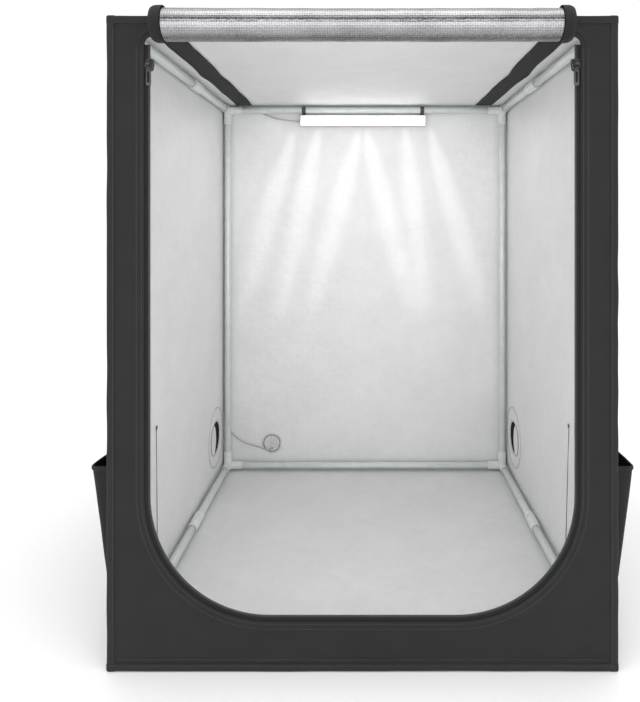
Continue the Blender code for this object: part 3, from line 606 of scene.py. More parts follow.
@dataclass
class OpeningEdge:
    """The closed outline of the door opening, and the panel's outer edge beside it."""

    side_steps: int = 70
    arc_steps: int = 28
    bottom_steps: int = 26
    top_arc_steps: int = 6
    top_steps: int = 48

    def inner(self, offset: float) -> np.ndarray:
        """The outline, that far outside the opening's own edge, as (x, z) pairs."""
        half, low, top = OPENING_HALF + offset, OPENING_LOW - offset, OPENING_TOP + offset
        radius, small = CORNER_RADIUS + offset, TOP_RADIUS + offset
        straight = np.linspace(OPENING_TOP - TOP_RADIUS, OPENING_LOW + CORNER_RADIUS, self.side_steps)
        reach = OPENING_HALF - CORNER_RADIUS
        base = np.linspace(-reach, reach, self.bottom_steps)
        top_reach = OPENING_HALF - TOP_RADIUS
        above = np.linspace(top_reach, -top_reach, self.top_steps)
        return np.concatenate([
            np.stack([np.full_like(straight, -half), straight], 1),
            self._arc(-reach, OPENING_LOW + CORNER_RADIUS, radius, 180, 270, self.arc_steps),
            np.stack([base, np.full_like(base, low)], 1),
            self._arc(reach, OPENING_LOW + CORNER_RADIUS, radius, 270, 360, self.arc_steps),
            np.stack([np.full_like(straight, half), straight[::-1]], 1),
            self._arc(top_reach, OPENING_TOP - TOP_RADIUS, small, 0, 90, self.top_arc_steps),
            np.stack([above, np.full_like(above, top)], 1),
            self._arc(-top_reach, OPENING_TOP - TOP_RADIUS, small, 90, 180, self.top_arc_steps),
        ])

    def outer(self, inset: float) -> np.ndarray:
        """The panel's outer edge, that far inside it, with a point for each point of the outline."""
        wide, low, top = HALF_WIDTH - inset, inset, HEIGHT - inset
        straight = np.linspace(OPENING_TOP - TOP_RADIUS, OPENING_LOW + CORNER_RADIUS, self.side_steps)
        reach = OPENING_HALF - CORNER_RADIUS
        base = np.linspace(-reach, reach, self.bottom_steps)
        top_reach = OPENING_HALF - TOP_RADIUS
        above = np.linspace(top_reach, -top_reach, self.top_steps)
        high = OPENING_TOP - TOP_RADIUS
        return np.concatenate([
            np.stack([np.full_like(straight, -wide), straight], 1),
            self._corner((-wide, straight[-1]), (-wide, low), (-reach, low), self.arc_steps),
            np.stack([base, np.full_like(base, low)], 1),
            self._corner((reach, low), (wide, low), (wide, straight[-1]), self.arc_steps),
            np.stack([np.full_like(straight, wide), straight[::-1]], 1),
            self._corner((wide, high), (wide, top), (top_reach, top), self.top_arc_steps),
            np.stack([above, np.full_like(above, top)], 1),
            self._corner((-top_reach, top), (-wide, top), (-wide, high), self.top_arc_steps),
        ])

    @staticmethod
    def _arc(x: float, z: float, radius: float, start: float, end: float, steps: int) -> np.ndarray:
        """Points strictly between the ends of an arc, with angles in degrees."""
        angle = np.radians(np.linspace(start, end, steps + 2)[1:-1])
        return np.stack([x + radius * np.cos(angle), z + radius * np.sin(angle)], 1)

    @staticmethod
    def _corner(start: tuple, corner: tuple, end: tuple, steps: int) -> np.ndarray:
        """Points strictly between two ends, round a square corner that is one of them."""
        half = steps // 2
        first = line(start, corner, half + 1)[1:]
        return np.concatenate([first, line(corner, end, steps - half + 2)[1:-1]])

    def zip_run(self, offset: float) -> np.ndarray:
        """The U that the zip follows, from the top left down and round to the top right."""
        count = 2 * self.side_steps + 2 * self.arc_steps + self.bottom_steps
        return self.inner(offset)[:count]


@dataclass
class Shell:
    """The sewn cloth box: six panels, the binding on its edges and its stitching."""

    edge: OpeningEdge = field(default_factory=OpeningEdge)
    tape_width: float = 0.009
    tape_thickness: float = 0.0008
    port_y: float = 0.225
    port_z: float = 0.093
    port_radius: float = 0.030

    def build(self) -> None:
        """Makes every panel, binding and row of stitches."""
        self.front()
        self.walls()
        self.binding()
        self.stitching()

    def front(self) -> None:
        """The front surround, with the fold and the raised seam beside the zip."""
        fold = [(0.0062, 0.0001), (0.0064, 0.0011), (0.0074, 0.0015), (0.0090, 0.0013), (0.0098, 0.0005),
                (0.0106, 0.0006), (0.0116, 0.0011), (0.0130, 0.0013), (0.0146, 0.0011), (0.0156, 0.0005),
                (0.0168, 0.0003), (0.0190, 0.0)]
        rows, heights = [], []
        for offset, height in fold:
            rows.append(self.edge.inner(offset))
            heights.append(np.full(len(rows[-1]), height))
        near, far = self.edge.inner(0.0190), self.edge.outer(0.0105)
        spans = 16
        for step in range(1, spans + 1):
            share = step / spans
            rows.append(near * (1 - share) + far * share)
            wide = np.linalg.norm(far - near, axis=1)
            free = 4 * share * (1 - share) * np.clip(wide / 0.05, 0.25, 1.6)
            x, z = rows[-1].T
            height = ripple(x, z, 0.16, 3) * 0.0011 + ripple(x, z, 0.055, 4) * 0.00035
            heights.append(height * free)
        rows.append(self.edge.outer(0.0012))
        heights.append(np.zeros(len(rows[-1])))
        flat = np.stack(rows)
        points = np.stack([flat[..., 0], FRONT - np.stack(heights), flat[..., 1]], axis=-1)
        points[..., 2] = np.minimum(points[..., 2], HEIGHT - 0.0021)
        panel = cloth("surround_cloth", points, flat, Finish.BLACK, Finish.FOIL, (0, -1, 0), 0.0013, True)
        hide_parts("front_surround")
        dress(panel, Finish.BLACK)

    def _panel(self, name: str, node: str, place: Callable, out: tuple, wide: float, high: float, seed: int,
               swell: float, seen: float) -> bpy.types.Object:
        """One flat panel with slack in its cloth.

        Args:
            name: the piece's name.
            node: the CAD node that it stands for.
            place: turns arrays (across, up, lift) into points, where lift is metres out of the tent.
            out: which way is out of the tent.
            wide: its width.
            high: its height.
            seed: which ripple it has.
            swell: how far its middle stands out, in metres.
            seen: how deep its wrinkles are, in metres.

        Returns:
            The panel.
        """
        across = np.linspace(-wide / 2, wide / 2, 73)
        up = np.linspace(0, high, 91)
        across, up = np.meshgrid(across, up)
        share_a, share_u = across / wide + 0.5, up / high
        free = np.clip(16 * share_a * (1 - share_a) * share_u * (1 - share_u), 0, 1)
        lift = ripple(across, up, 0.22, seed) * 0.55 + ripple(across, up, 0.07, seed + 50) * 0.30
        lift = free * (swell + lift * seen)
        flat = np.stack([across, up], axis=-1)
        points = np.stack(place(across, up, lift), axis=-1)
        panel = cloth(name, points, flat, Finish.BLACK, Finish.FOIL, out, 0.0012)
        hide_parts(node)
        return panel

    def walls(self) -> None:
        """The two sides, the rear, the roof and the floor."""
        inner = HALF_WIDTH - 0.0021
        sides = {
            "left": (lambda a, u, o: (-HALF_WIDTH - o, -a, u + 0 * a), 11),
            "right": (lambda a, u, o: (HALF_WIDTH + o, a, u + 0 * a), 12),
        }
        for label, (place, seed) in sides.items():
            sign = -1 if label == "left" else 1
            panel = self._panel(f"{label}_side_cloth", f"{label}_wall", place, (sign, 0, 0), 2 * inner,
                                HEIGHT - 0.0021, seed, -0.0006, 0.0016)
            self.cut_round(panel, (sign * HALF_WIDTH, self.port_y, self.port_z), (0, 90, 0),
                           self.port_radius)
            dress(panel, Finish.BLACK)
        rear = self._panel("rear_cloth", "rear_wall", lambda a, u, o: (-a, HALF_DEPTH + o, u + 0 * a),
                           (0, 1, 0),
                           2 * HALF_WIDTH - 0.001, HEIGHT - 0.0021, 13, -0.0006, 0.0016)
        self.cut_round(rear, (-0.197, HALF_DEPTH, 0.055), (90, 0, 0), 0.017)
        dress(rear, Finish.BLACK)
        roof = self._panel("roof_cloth", "roof_panel", lambda a, u,
                           o: (a, u - HALF_DEPTH, HEIGHT + o - 0.0003), (0, 0, 1),
                           2 * HALF_WIDTH - 0.001, 2 * HALF_DEPTH, 14, -0.0006, 0.0013)
        dress(roof, Finish.BLACK)
        floor = self._panel("floor_cloth", "floor_panel", lambda a, u,
                            o: (a, HALF_DEPTH - 0.0021 - u, 0.0004 + 0 * o), (0, 0, -1),
                            2 * inner, 2 * inner, 15, 0.0, 0.0)
        dress(floor, Finish.BLACK)

    @staticmethod
    def cut_round(panel: bpy.types.Object, middle: tuple, turn: tuple, radius: float) -> None:
        """Cuts a round hole through a panel."""
        bpy.ops.object.select_all(action="DESELECT")
        angles = tuple(math.radians(a) for a in turn)
        bpy.ops.mesh.primitive_cylinder_add(vertices=72, radius=radius, depth=0.03, location=middle,
                                            rotation=angles)
        tool = bpy.context.object
        settle(tool)
        cut = panel.modifiers.new("port", "BOOLEAN")
        cut.object = tool
        cut.operation = "DIFFERENCE"
        apply_modifiers(panel)
        bpy.data.objects.remove(tool)

    def _edge_tape(self, name: str, start: tuple, end: tuple, first: tuple, second: tuple,
                   seed: int) -> None:
        """Tape folded over one edge of the box.

        Args:
            name: the piece's name.
            start: one end of the edge.
            end: its other end.
            first: the direction, along the first panel, away from the edge.
            second: the same on the second panel.
            seed: which ripple it has.
        """
        a, b = np.array(first, float), np.array(second, float)
        bend = 0.0016
        lift = self.tape_thickness
        turn = np.linspace(0, math.pi / 2, 5)
        section = [a * self.tape_width - b * 0.0002, a * (self.tape_width - 0.0006) - b * lift,
                   a * 0.005 - b * lift]
        section += [(a + b) * bend - (b * math.cos(t) + a * math.sin(t)) * (bend + lift) for t in turn]
        section += [b * 0.005 - a * lift, b * (self.tape_width - 0.0006) - a * lift,
                    b * self.tape_width - a * 0.0002]
        middle = line(start, end, 90)
        long = np.linalg.norm(middle[-1] - middle[0])
        at = np.linspace(0, long, len(middle))
        sway = ripple(at, np.zeros_like(at), 0.06, seed) * 0.00025
        section = np.array(section)
        points = middle[:, None] + section[None] - (sway[:, None, None] * (a + b))
        width = np.concatenate([[0], np.cumsum(np.linalg.norm(np.diff(section, axis=0), axis=1))])
        flat = np.stack(np.meshgrid(width, at), axis=-1)
        tape = cloth(name, points, flat, Finish.BINDING, Finish.BINDING, -(a + b), 0.0004)
        dress(tape, Finish.BINDING)

    def binding(self) -> None:
        """Tape on all twelve edges of the box."""
        w, d, h = HALF_WIDTH, HALF_DEPTH, HEIGHT
        for sx in (-1, 1):
            side = "left" if sx < 0 else "right"
            for sy in (-1, 1):
                end = "front" if sy < 0 else "rear"
                self._edge_tape(f"edge_tape_{end}_{side}", (sx * w, sy * d, 0.002),
                                (sx * w, sy * d, h - 0.001),
                                (-sx, 0, 0), (0, -sy, 0), 20 + sx + 3 * sy)
            for level, z, up in (("bottom", 0.0009, 1), ("top", h, -1)):
                self._edge_tape(f"edge_tape_{level}_{side}", (sx * w, -d, z), (sx * w, d, z),
                                (-sx, 0, 0), (0, 0, up), 30 + sx + 3 * up)
        for sy in (-1, 1):
            end = "front" if sy < 0 else "rear"
            for level, z, up in (("bottom", 0.0009, 1), ("top", h, -1)):
                self._edge_tape(f"edge_tape_{level}_{end}", (-w, sy * d, z), (w, sy * d, z),
                                (0, -sy, 0), (0, 0, up), 40 + sy + 3 * up)

    def stitching(self) -> None:
        """Topstitching beside the binding, beside the zip and along the hem."""
        sewing = Sewing()
        inset = self.tape_width - 0.0016
        w, d, h = HALF_WIDTH, HALF_DEPTH, HEIGHT
        lift = self.tape_thickness
        for sx in (-1, 1):
            side = "left" if sx < 0 else "right"
            x = sx * (w - inset)
            sewing.row(f"stitches_front_{side}", line((x, -d - lift, 0.004), (x, -d - lift, h - 0.012)),
                       (0, -1, 0))
            sewing.row(f"stitches_rear_{side}", line((x, d + lift, 0.004), (x, d + lift, h - 0.012)),
                       (0, 1, 0))
            for sy, end in ((-1, "front"), (1, "rear")):
                y = sy * (d - inset)
                sewing.row(f"stitches_{side}_{end}",
                           line((sx * (w + lift), y, 0.004), (sx * (w + lift), y, h - 0.012)),
                           (sx, 0, 0))
            sewing.row(f"stitches_{side}_top",
                       line((sx * (w + lift), -d, h - inset), (sx * (w + lift), d, h - inset)),
                       (sx, 0, 0))
            sewing.row(f"stitches_{side}_bottom",
                       line((sx * (w + lift), -d, inset), (sx * (w + lift), d, inset)),
                       (sx, 0, 0))
            sewing.row(f"stitches_roof_{side}", line((x, -d, h + lift), (x, d, h + lift)), (0, 0, 1))
        for name, y, facing in (("front", -d - lift, -1), ("rear", d + lift, 1)):
            sewing.row(f"stitches_{name}_bottom", line((-w, y, inset), (w, y, inset)), (0, facing, 0))
        sewing.row("stitches_rear_top", line((-w, d + lift, h - inset), (w, d + lift, h - inset)),
                   (0, 1, 0))
        sewing.row("stitches_front_hem", line((-w + 0.01, -d - 0.0002, 0.0145),
                                              (w - 0.01, -d - 0.0002, 0.0145)),
                   (0, -1, 0))
        for index, (offset, lift_here) in enumerate(((0.0100, 0.0005), (0.0158, 0.0005))):
            run = self.edge.zip_run(offset)
            path = np.stack([run[:, 0], np.full(len(run), FRONT - lift_here), run[:, 1]], 1)
            sewing.row(f"stitches_zip_{index + 1}", path, (0, -1, 0))


def turned(name: str, profile: list[tuple[float, float]], place: tuple, axis: tuple,
           steps: int = 48) -> bpy.types.Object:
    """A closed outline of (radius, height) pairs turned about an axis.

    Args:
        name: the piece's name.
        profile: the outline; it starts and ends on the axis, or is a ring's section.
        place: where its height zero goes.
        axis: which way its height goes.
        steps: how many faces go round it.

    Returns:
        The piece, with outward normals.
    """
    count = len(profile)
    open_line = profile[0][0] == 0
    edges = [(i, (i + 1) % count) for i in range(count - 1 if open_line else count)]
    mesh = bpy.data.meshes.new(name)
    mesh.from_pydata([(r, 0, h) for r, h in profile], edges, [])
    made = bpy.data.objects.new(name, mesh)
    bpy.context.scene.collection.objects.link(made)
    turn = made.modifiers.new("turn", "SCREW")
    turn.steps = steps
    turn.render_steps = steps
    turn.use_merge_vertices = True
    turn.merge_threshold = 0.00001
    apply_modifiers(made)
    face_out(made)
    made.rotation_euler = Vector(axis).to_track_quat("Z", "Y").to_euler()
    made.location = place
    settle(made)
    return made


def face_out(piece: bpy.types.Object) -> None:
    """Turns a closed piece's faces outwards."""
    only(piece)
    bpy.ops.object.mode_set(mode="EDIT")
    bpy.ops.mesh.select_all(action="SELECT")
    bpy.ops.mesh.normals_make_consistent(inside=False)
    bpy.ops.object.mode_set(mode="OBJECT")


def block(name: str, low: tuple, high: tuple, bevel: float = 0.0005, segments: int = 3) -> bpy.types.Object:
    """A box with rounded edges, from its two far corners."""
    bpy.ops.object.select_all(action="DESELECT")
    middle = [(a + b) / 2 for a, b in zip(low, high)]
    bpy.ops.mesh.primitive_cube_add(size=1.0, location=middle)
    made = bpy.context.object
    made.name = name
    made.scale = [b - a for a, b in zip(low, high)]
    settle(made)
    if bevel:
        round_off(made, bevel, segments)
    return made


def round_off(piece: bpy.types.Object, width: float, segments: int = 3, angle: float = 30.0) -> None:
    """Rounds a piece's sharp edges."""
    edge = piece.modifiers.new("edge", "BEVEL")
    edge.width = width
    edge.segments = segments
    edge.limit_method = "ANGLE"
    edge.angle_limit = math.radians(angle)
    apply_modifiers(piece)


def prism(name: str, outline: np.ndarray, thickness: float, frame_at: Matrix,
          bevel: float) -> bpy.types.Object:
    """A flat outline given thickness, with rounded edges.

    Args:
        name: the piece's name.
        outline: its (x, y) points in order.
        thickness: how thick it is, half to each side.
        frame_at: turns its own x, y and z into the frame.
        bevel: how far its edges are rounded.

    Returns:
        The piece.
    """
    points = np.concatenate([outline, np.full((len(outline), 1), -thickness / 2)], axis=1)
    made = new_mesh(name, points, [list(range(len(outline)))])
    wall = made.modifiers.new("wall", "SOLIDIFY")
    wall.thickness = thickness
    wall.offset = 1.0
    apply_modifiers(made)
    face_out(made)
    if bevel:
        round_off(made, bevel, 2, 40)
    made.data.transform(frame_at)
    return made


def joined(name: str, *pieces: bpy.types.Object) -> bpy.types.Object:
    """Several pieces as one object."""
    only(*pieces)
    if len(pieces) > 1:
        bpy.ops.object.join()
    pieces[0].name = name
    pieces[0].data.name = name
    return pieces[0]


def cut(piece: bpy.types.Object, tool: bpy.types.Object, operation: str = "DIFFERENCE") -> bpy.types.Object:
    """Cuts a tool from a piece, or joins it on, and removes the tool."""
    step = piece.modifiers.new("cut", "BOOLEAN")
    step.object = tool
    step.operation = operation
    apply_modifiers(piece)
    bpy.data.objects.remove(tool)
    return piece


def swept(name: str, path: np.ndarray, across: float, up: float, sides: int = 14,
          normal: tuple | None = None) -> bpy.types.Object:
    """A rounded section swept along a path, with closed ends.

    Args:
        name: the piece's name.
        path: its centres.
        across: half its width.
        up: half its height, along normal.
        sides: how many points go round it.
        normal: which way its height goes; None turns with the path as little as it can.

    Returns:
        The piece, whose "cloth" map runs along it.
    """
    path = np.asarray(path, float)
    ahead = np.gradient(path, axis=0)
    ahead /= np.linalg.norm(ahead, axis=1)[:, None]
    side = np.zeros_like(path)
    if normal is None:
        start = np.cross(ahead[0], (0.0, 0.0, 1.0))
        if np.linalg.norm(start) < 0.1:
            start = np.cross(ahead[0], (0.0, 1.0, 0.0))
        side[0] = start / np.linalg.norm(start)
        for i in range(1, len(path)):
            turned_on = side[i - 1] - ahead[i] * (side[i - 1] @ ahead[i])
            side[i] = turned_on / np.linalg.norm(turned_on)
    else:
        side = np.cross(ahead, np.broadcast_to(np.asarray(normal, float), path.shape))
        side /= np.linalg.norm(side, axis=1)[:, None]
    above = np.cross(side, ahead)
    angle = np.linspace(0, 2 * math.pi, sides, endpoint=False)
    sideways = np.cos(angle)[None, :, None] * across * side[:, None]
    upright = np.sin(angle)[None, :, None] * up * above[:, None]
    ring = sideways + upright
    points = path[:, None] + ring
    number = np.arange(len(path) * sides).reshape(len(path), sides)
    following = np.roll(number, -1, axis=1)
    quads = np.stack([number[:-1], following[:-1], following[1:], number[1:]], axis=-1)
    faces = quads.reshape(-1, 4).tolist()
    faces.append(number[0][::-1].tolist())
    faces.append(number[-1].tolist())
    made = new_mesh(name, points.reshape(-1, 3), faces)
    distance = np.concatenate([[0], np.cumsum(np.linalg.norm(np.diff(path, axis=0), axis=1))])
    girth = angle / (2 * math.pi) * math.pi * (across + up)
    flat = np.stack(np.meshgrid(girth, distance), axis=-1)
    lay_flat(made, flat.reshape(-1, 2))
    face_out(made)
    return made


def smooth_path(points: list, steps: int) -> np.ndarray:
    """Points on a smooth curve through a route's own points, however unevenly they are spaced."""
    given = [Vector(p) for p in points]
    spans = [b - a for a, b in zip(given, given[1:])]
    slopes = [spans[0].normalized()]
    for before, after in zip(spans, spans[1:]):
        share = before.length / (before.length + after.length)
        slopes.append(before.normalized() * (1 - share) + after.normalized() * share)
    slopes.append(spans[-1].normalized())
    found = []
    for i, span in enumerate(spans):
        count = max(2, int(span.length / 0.004)) if steps == 0 else steps
        for k in range(count):
            t = k / count
            along = given[i] + span * (3 * t**2 - 2 * t**3)
            bent = slopes[i] * (t**3 - 2 * t**2 + t) + slopes[i + 1] * (t**3 - t**2)
            found.append(along + bent * span.length)
    return np.array([tuple(p) for p in [*found, given[-1]]])


@dataclass
class TubeFrame:
    """The tube frame: posts and rails in moulded corner sockets, and sleeves that join the side rails."""

    radius: float = 0.0065
    socket: float = 0.0085
    socket_length: float = 0.030
    bore: float = 0.0068
    socket_depth: float = 0.021
    reach: float = 0.2877
    low: float = 0.0129
    high: float = 0.7577
    coupler_y: float = 0.038
    coupler_length: float = 0.050

    def build(self) -> None:
        """Makes every tube, corner socket and joining sleeve."""
        w, start = self.reach, 0.0093
        for level, z in (("bottom", self.low), ("top", self.high)):
            for side, sx in (("left", -1), ("right", 1)):
                x = sx * w
                self.tube(f"side_rail_{level}_{side}_front", (x, start - w, z),
                          (x, self.coupler_y - 0.0014, z))
                self.tube(f"side_rail_{level}_{side}_rear", (x, self.coupler_y + 0.0014, z),
                          (x, w - start, z))
                self.sleeve(f"coupler_{level}_{side}", (x, self.coupler_y, z))
            for end, sy in (("front", -1), ("rear", 1)):
                self.tube(f"cross_rail_{level}_{end}", (start - w, sy * w, z), (w - start, sy * w, z))
        for end, sy in (("front", -1), ("rear", 1)):
            for side, sx in (("left", -1), ("right", 1)):
                x, y = sx * w, sy * w
                self.tube(f"post_{end}_{side}", (x, y, self.low + start), (x, y, self.high - start))
                self.corner(f"corner_bottom_{end}_{side}", (x, y, self.low), (-sx, -sy, 1))
                self.corner(f"corner_top_{end}_{side}", (x, y, self.high), (-sx, -sy, -1))

    def tube(self, node: str, start: tuple, end: tuple) -> None:
        """One steel tube, with its wall and rolled ends."""
        span = Vector(end) - Vector(start)
        r, w, long = self.radius, 0.0008, span.length
        profile = [(r - w, 0.0002), (r - w / 2, 0), (r - 0.0002, 0.0002), (r, 0.0006), (r, long - 0.0006),
                   (r - 0.0002, long - 0.0002), (r - w / 2, long), (r - w, long - 0.0002)]
        piece = turned(f"{node}_tube", profile, start, tuple(span), 40)
        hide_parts(node)
        dress(piece, Finish.TUBE)

    def sleeve(self, node: str, place: tuple) -> None:
        """A moulded sleeve between two tubes, with lips, grooves and a centre band."""
        half, r = self.coupler_length / 2, self.socket
        right = [(self.bore, 0.0), (self.bore, half - 0.0008), (self.bore + 0.0006, half),
                 (r - 0.0006, half),
                 (r, half - 0.0006), (r, half - 0.0036), (r - 0.0004, half - 0.0042),
                 (r - 0.0004, half - 0.0150),
                 (r - 0.0001, half - 0.0156), (r - 0.0001, half - 0.0176), (r - 0.0005, half - 0.0182),
                 (r - 0.0005, 0.0046), (r, 0.0040), (r, 0.0)]
        left = [(radius, -height) for radius, height in right[::-1]]
        piece = turned(f"{node}_sleeve", right[:-1] + left[:-1], place, (0, 1, 0), 48)
        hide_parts(node)
        dress(piece, Finish.SOCKET, smooth=30)

    def corner(self, node: str, place: tuple, ways: tuple) -> None:
        """A moulded corner with three ribbed sockets round a ball."""
        r, long = self.socket, self.socket_length
        profile = [(0, 0.0), (r - 0.0003, 0.0), (r - 0.0003, 0.0085), (r, 0.0090), (r, 0.0105),
                   (r - 0.0004, 0.0110),
                   (r - 0.0004, long - 0.0052), (r, long - 0.0046), (r, long - 0.0008), (r - 0.0006, long),
                   (self.bore + 0.0005, long), (self.bore, long - 0.0007),
                   (self.bore, long - self.socket_depth),
                   (0, long - self.socket_depth)]
        pieces = []
        for i, way in enumerate(ways):
            axis = [0, 0, 0]
            axis[i] = way
            pieces.append(turned(f"socket_{i}", profile, place, tuple(axis), 40))
        bpy.ops.object.select_all(action="DESELECT")
        bpy.ops.mesh.primitive_uv_sphere_add(segments=32, ring_count=20, radius=self.socket + 0.0004,
                                             location=place)
        ball = bpy.context.object
        settle(ball)
        piece = joined(f"{node}_moulding", *pieces, ball)
        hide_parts(node)
        dress(piece, Finish.SOCKET, smooth=30)


@dataclass
class DoorRoll:
    """The front door, rolled up from its foot and held by two straps."""

    centre_y: float = -0.3208
    centre_z: float = 0.7540
    outside: float = 0.0194
    pitch: float = 0.00172
    turns: float = 9.2
    half: float = 0.2405
    band: float = 0.0155
    body: str = "door"

    def end_drop(self, x: np.ndarray) -> np.ndarray:
        """How much smaller the roll is near its ends, as a share."""
        beyond = np.clip((np.abs(x) - (self.half - 0.0085)) / 0.0085, 0, 1)
        return 1 - 0.24 * (1 - np.sqrt(1 - 0.96 * beyond**2)) * 1.25

    def build(self) -> None:
        """Makes the rolled cloth and the straps."""
        inner = np.linspace(-self.half + self.band, self.half - self.band, 71)
        ends = np.linspace(0, self.band - 0.0005, 12)[1:]
        x = np.concatenate([-self.half + (self.band - ends[::-1]) - 0.0003, inner,
                            self.half - self.band + ends])
        turn = np.linspace(0, 2 * math.pi * self.turns, int(44 * self.turns))
        fall = np.linspace(0.0170, 0.0012, 8)
        radius = self.outside - self.pitch * turn / (2 * math.pi)
        X, T = np.meshgrid(x, turn)
        R = radius[:, None] * self.end_drop(x)[None]
        slack = ripple(X, T * 0.0194, 0.085, 61) * 0.00022
        slack = slack + ripple(X * 0.45, T * 0.0194, 0.020, 62) * 0.00016
        crease = np.exp(-(((X - 0.196) / 0.011) ** 2)) * np.sin(T * 5.0 + X * 210) * 0.00028
        crease += np.exp(-(((X + 0.120) / 0.016) ** 2)) * np.sin(T * 4.0 - X * 120) * 0.00016
        R = R + (slack + crease) * np.clip(1 - T / 30, 0.15, 1)
        sag = -0.0007 * (1 - (X / self.half) ** 2)
        wound = np.stack([X, self.centre_y + R * np.cos(T), self.centre_z - R * np.sin(T) + sag], axis=-1)
        X0, D = np.meshgrid(x, fall)
        down = np.stack([X0, np.full_like(X0, self.centre_y + self.outside) + 0.0002 * np.sin(D * 300),
                         self.centre_z + D], axis=-1)
        points = np.concatenate([down, wound])
        step = np.linalg.norm(np.diff(points[:, 40], axis=0), axis=1)
        along = np.concatenate([[0], np.cumsum(step)])
        flat = np.stack(np.meshgrid(x, along), axis=-1)
        out = points - np.array([0.0, self.centre_y, self.centre_z])
        piece = cloth("door_cloth", points, flat, Finish.ROLL, Finish.BLACK, out * [0, 1, 1], 0.0009)
        self._black_ends(piece)
        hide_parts("door_roll")
        dress(piece, Finish.ROLL, self.body, 60)
        for side, sign in (("left", -1), ("right", 1)):
            self._strap(side, sign)
            self._strap_fall(side, sign)

    def _black_ends(self, piece: bpy.types.Object) -> None:
        """Gives the zip tape at the door's two edges its own material."""
        piece.data.materials.append(Finish.ZIP_TAPE.material())
        for face in piece.data.polygons:
            if abs(face.center.x) > self.half - self.band:
                face.material_index = 2

    def _strap(self, side: str, sign: int) -> None:
        """A webbing strap round one end of the roll."""
        x = np.linspace(self.half - self.band + 0.0012, self.half - 0.0016, 9)
        angle = np.linspace(0, 2 * math.pi, 64, endpoint=False)
        X, A = np.meshgrid(x, angle, indexing="ij")
        R = (self.outside + 0.0002) * self.end_drop(X) + 0.0003 * np.cos(3 * A) ** 2 + 0.0013
        points = np.stack([sign * X, self.centre_y + R * np.cos(A), self.centre_z + R * np.sin(A)], axis=-1)
        flat = np.stack([X, A * 0.0205], axis=-1)
        piece = cloth(f"door_strap_{side}_webbing", points, flat, Finish.WEBBING, Finish.WEBBING,
                      np.stack([0 * A, np.cos(A), np.sin(A)], axis=-1), 0.0010, True)
        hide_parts(f"door_strap_{side}")
        dress(piece, Finish.WEBBING, self.body, 50)

    def _strap_fall(self, side: str, sign: int) -> None:
        """The stitched end of the strap, laid over itself at the back of the roll."""
        x = sign * (self.half - self.band / 2 - 0.0008)
        angle = np.radians(np.linspace(20, 75, 14))
        r = self.outside + 0.0022
        path = np.stack([np.full(14, x), self.centre_y + r * np.cos(angle),
                         self.centre_z + r * np.sin(angle)], 1)
        piece = swept(f"door_strap_{side}_end", path, 0.0048, 0.0006, 12, None)
        dress(piece, Finish.WEBBING, self.body)


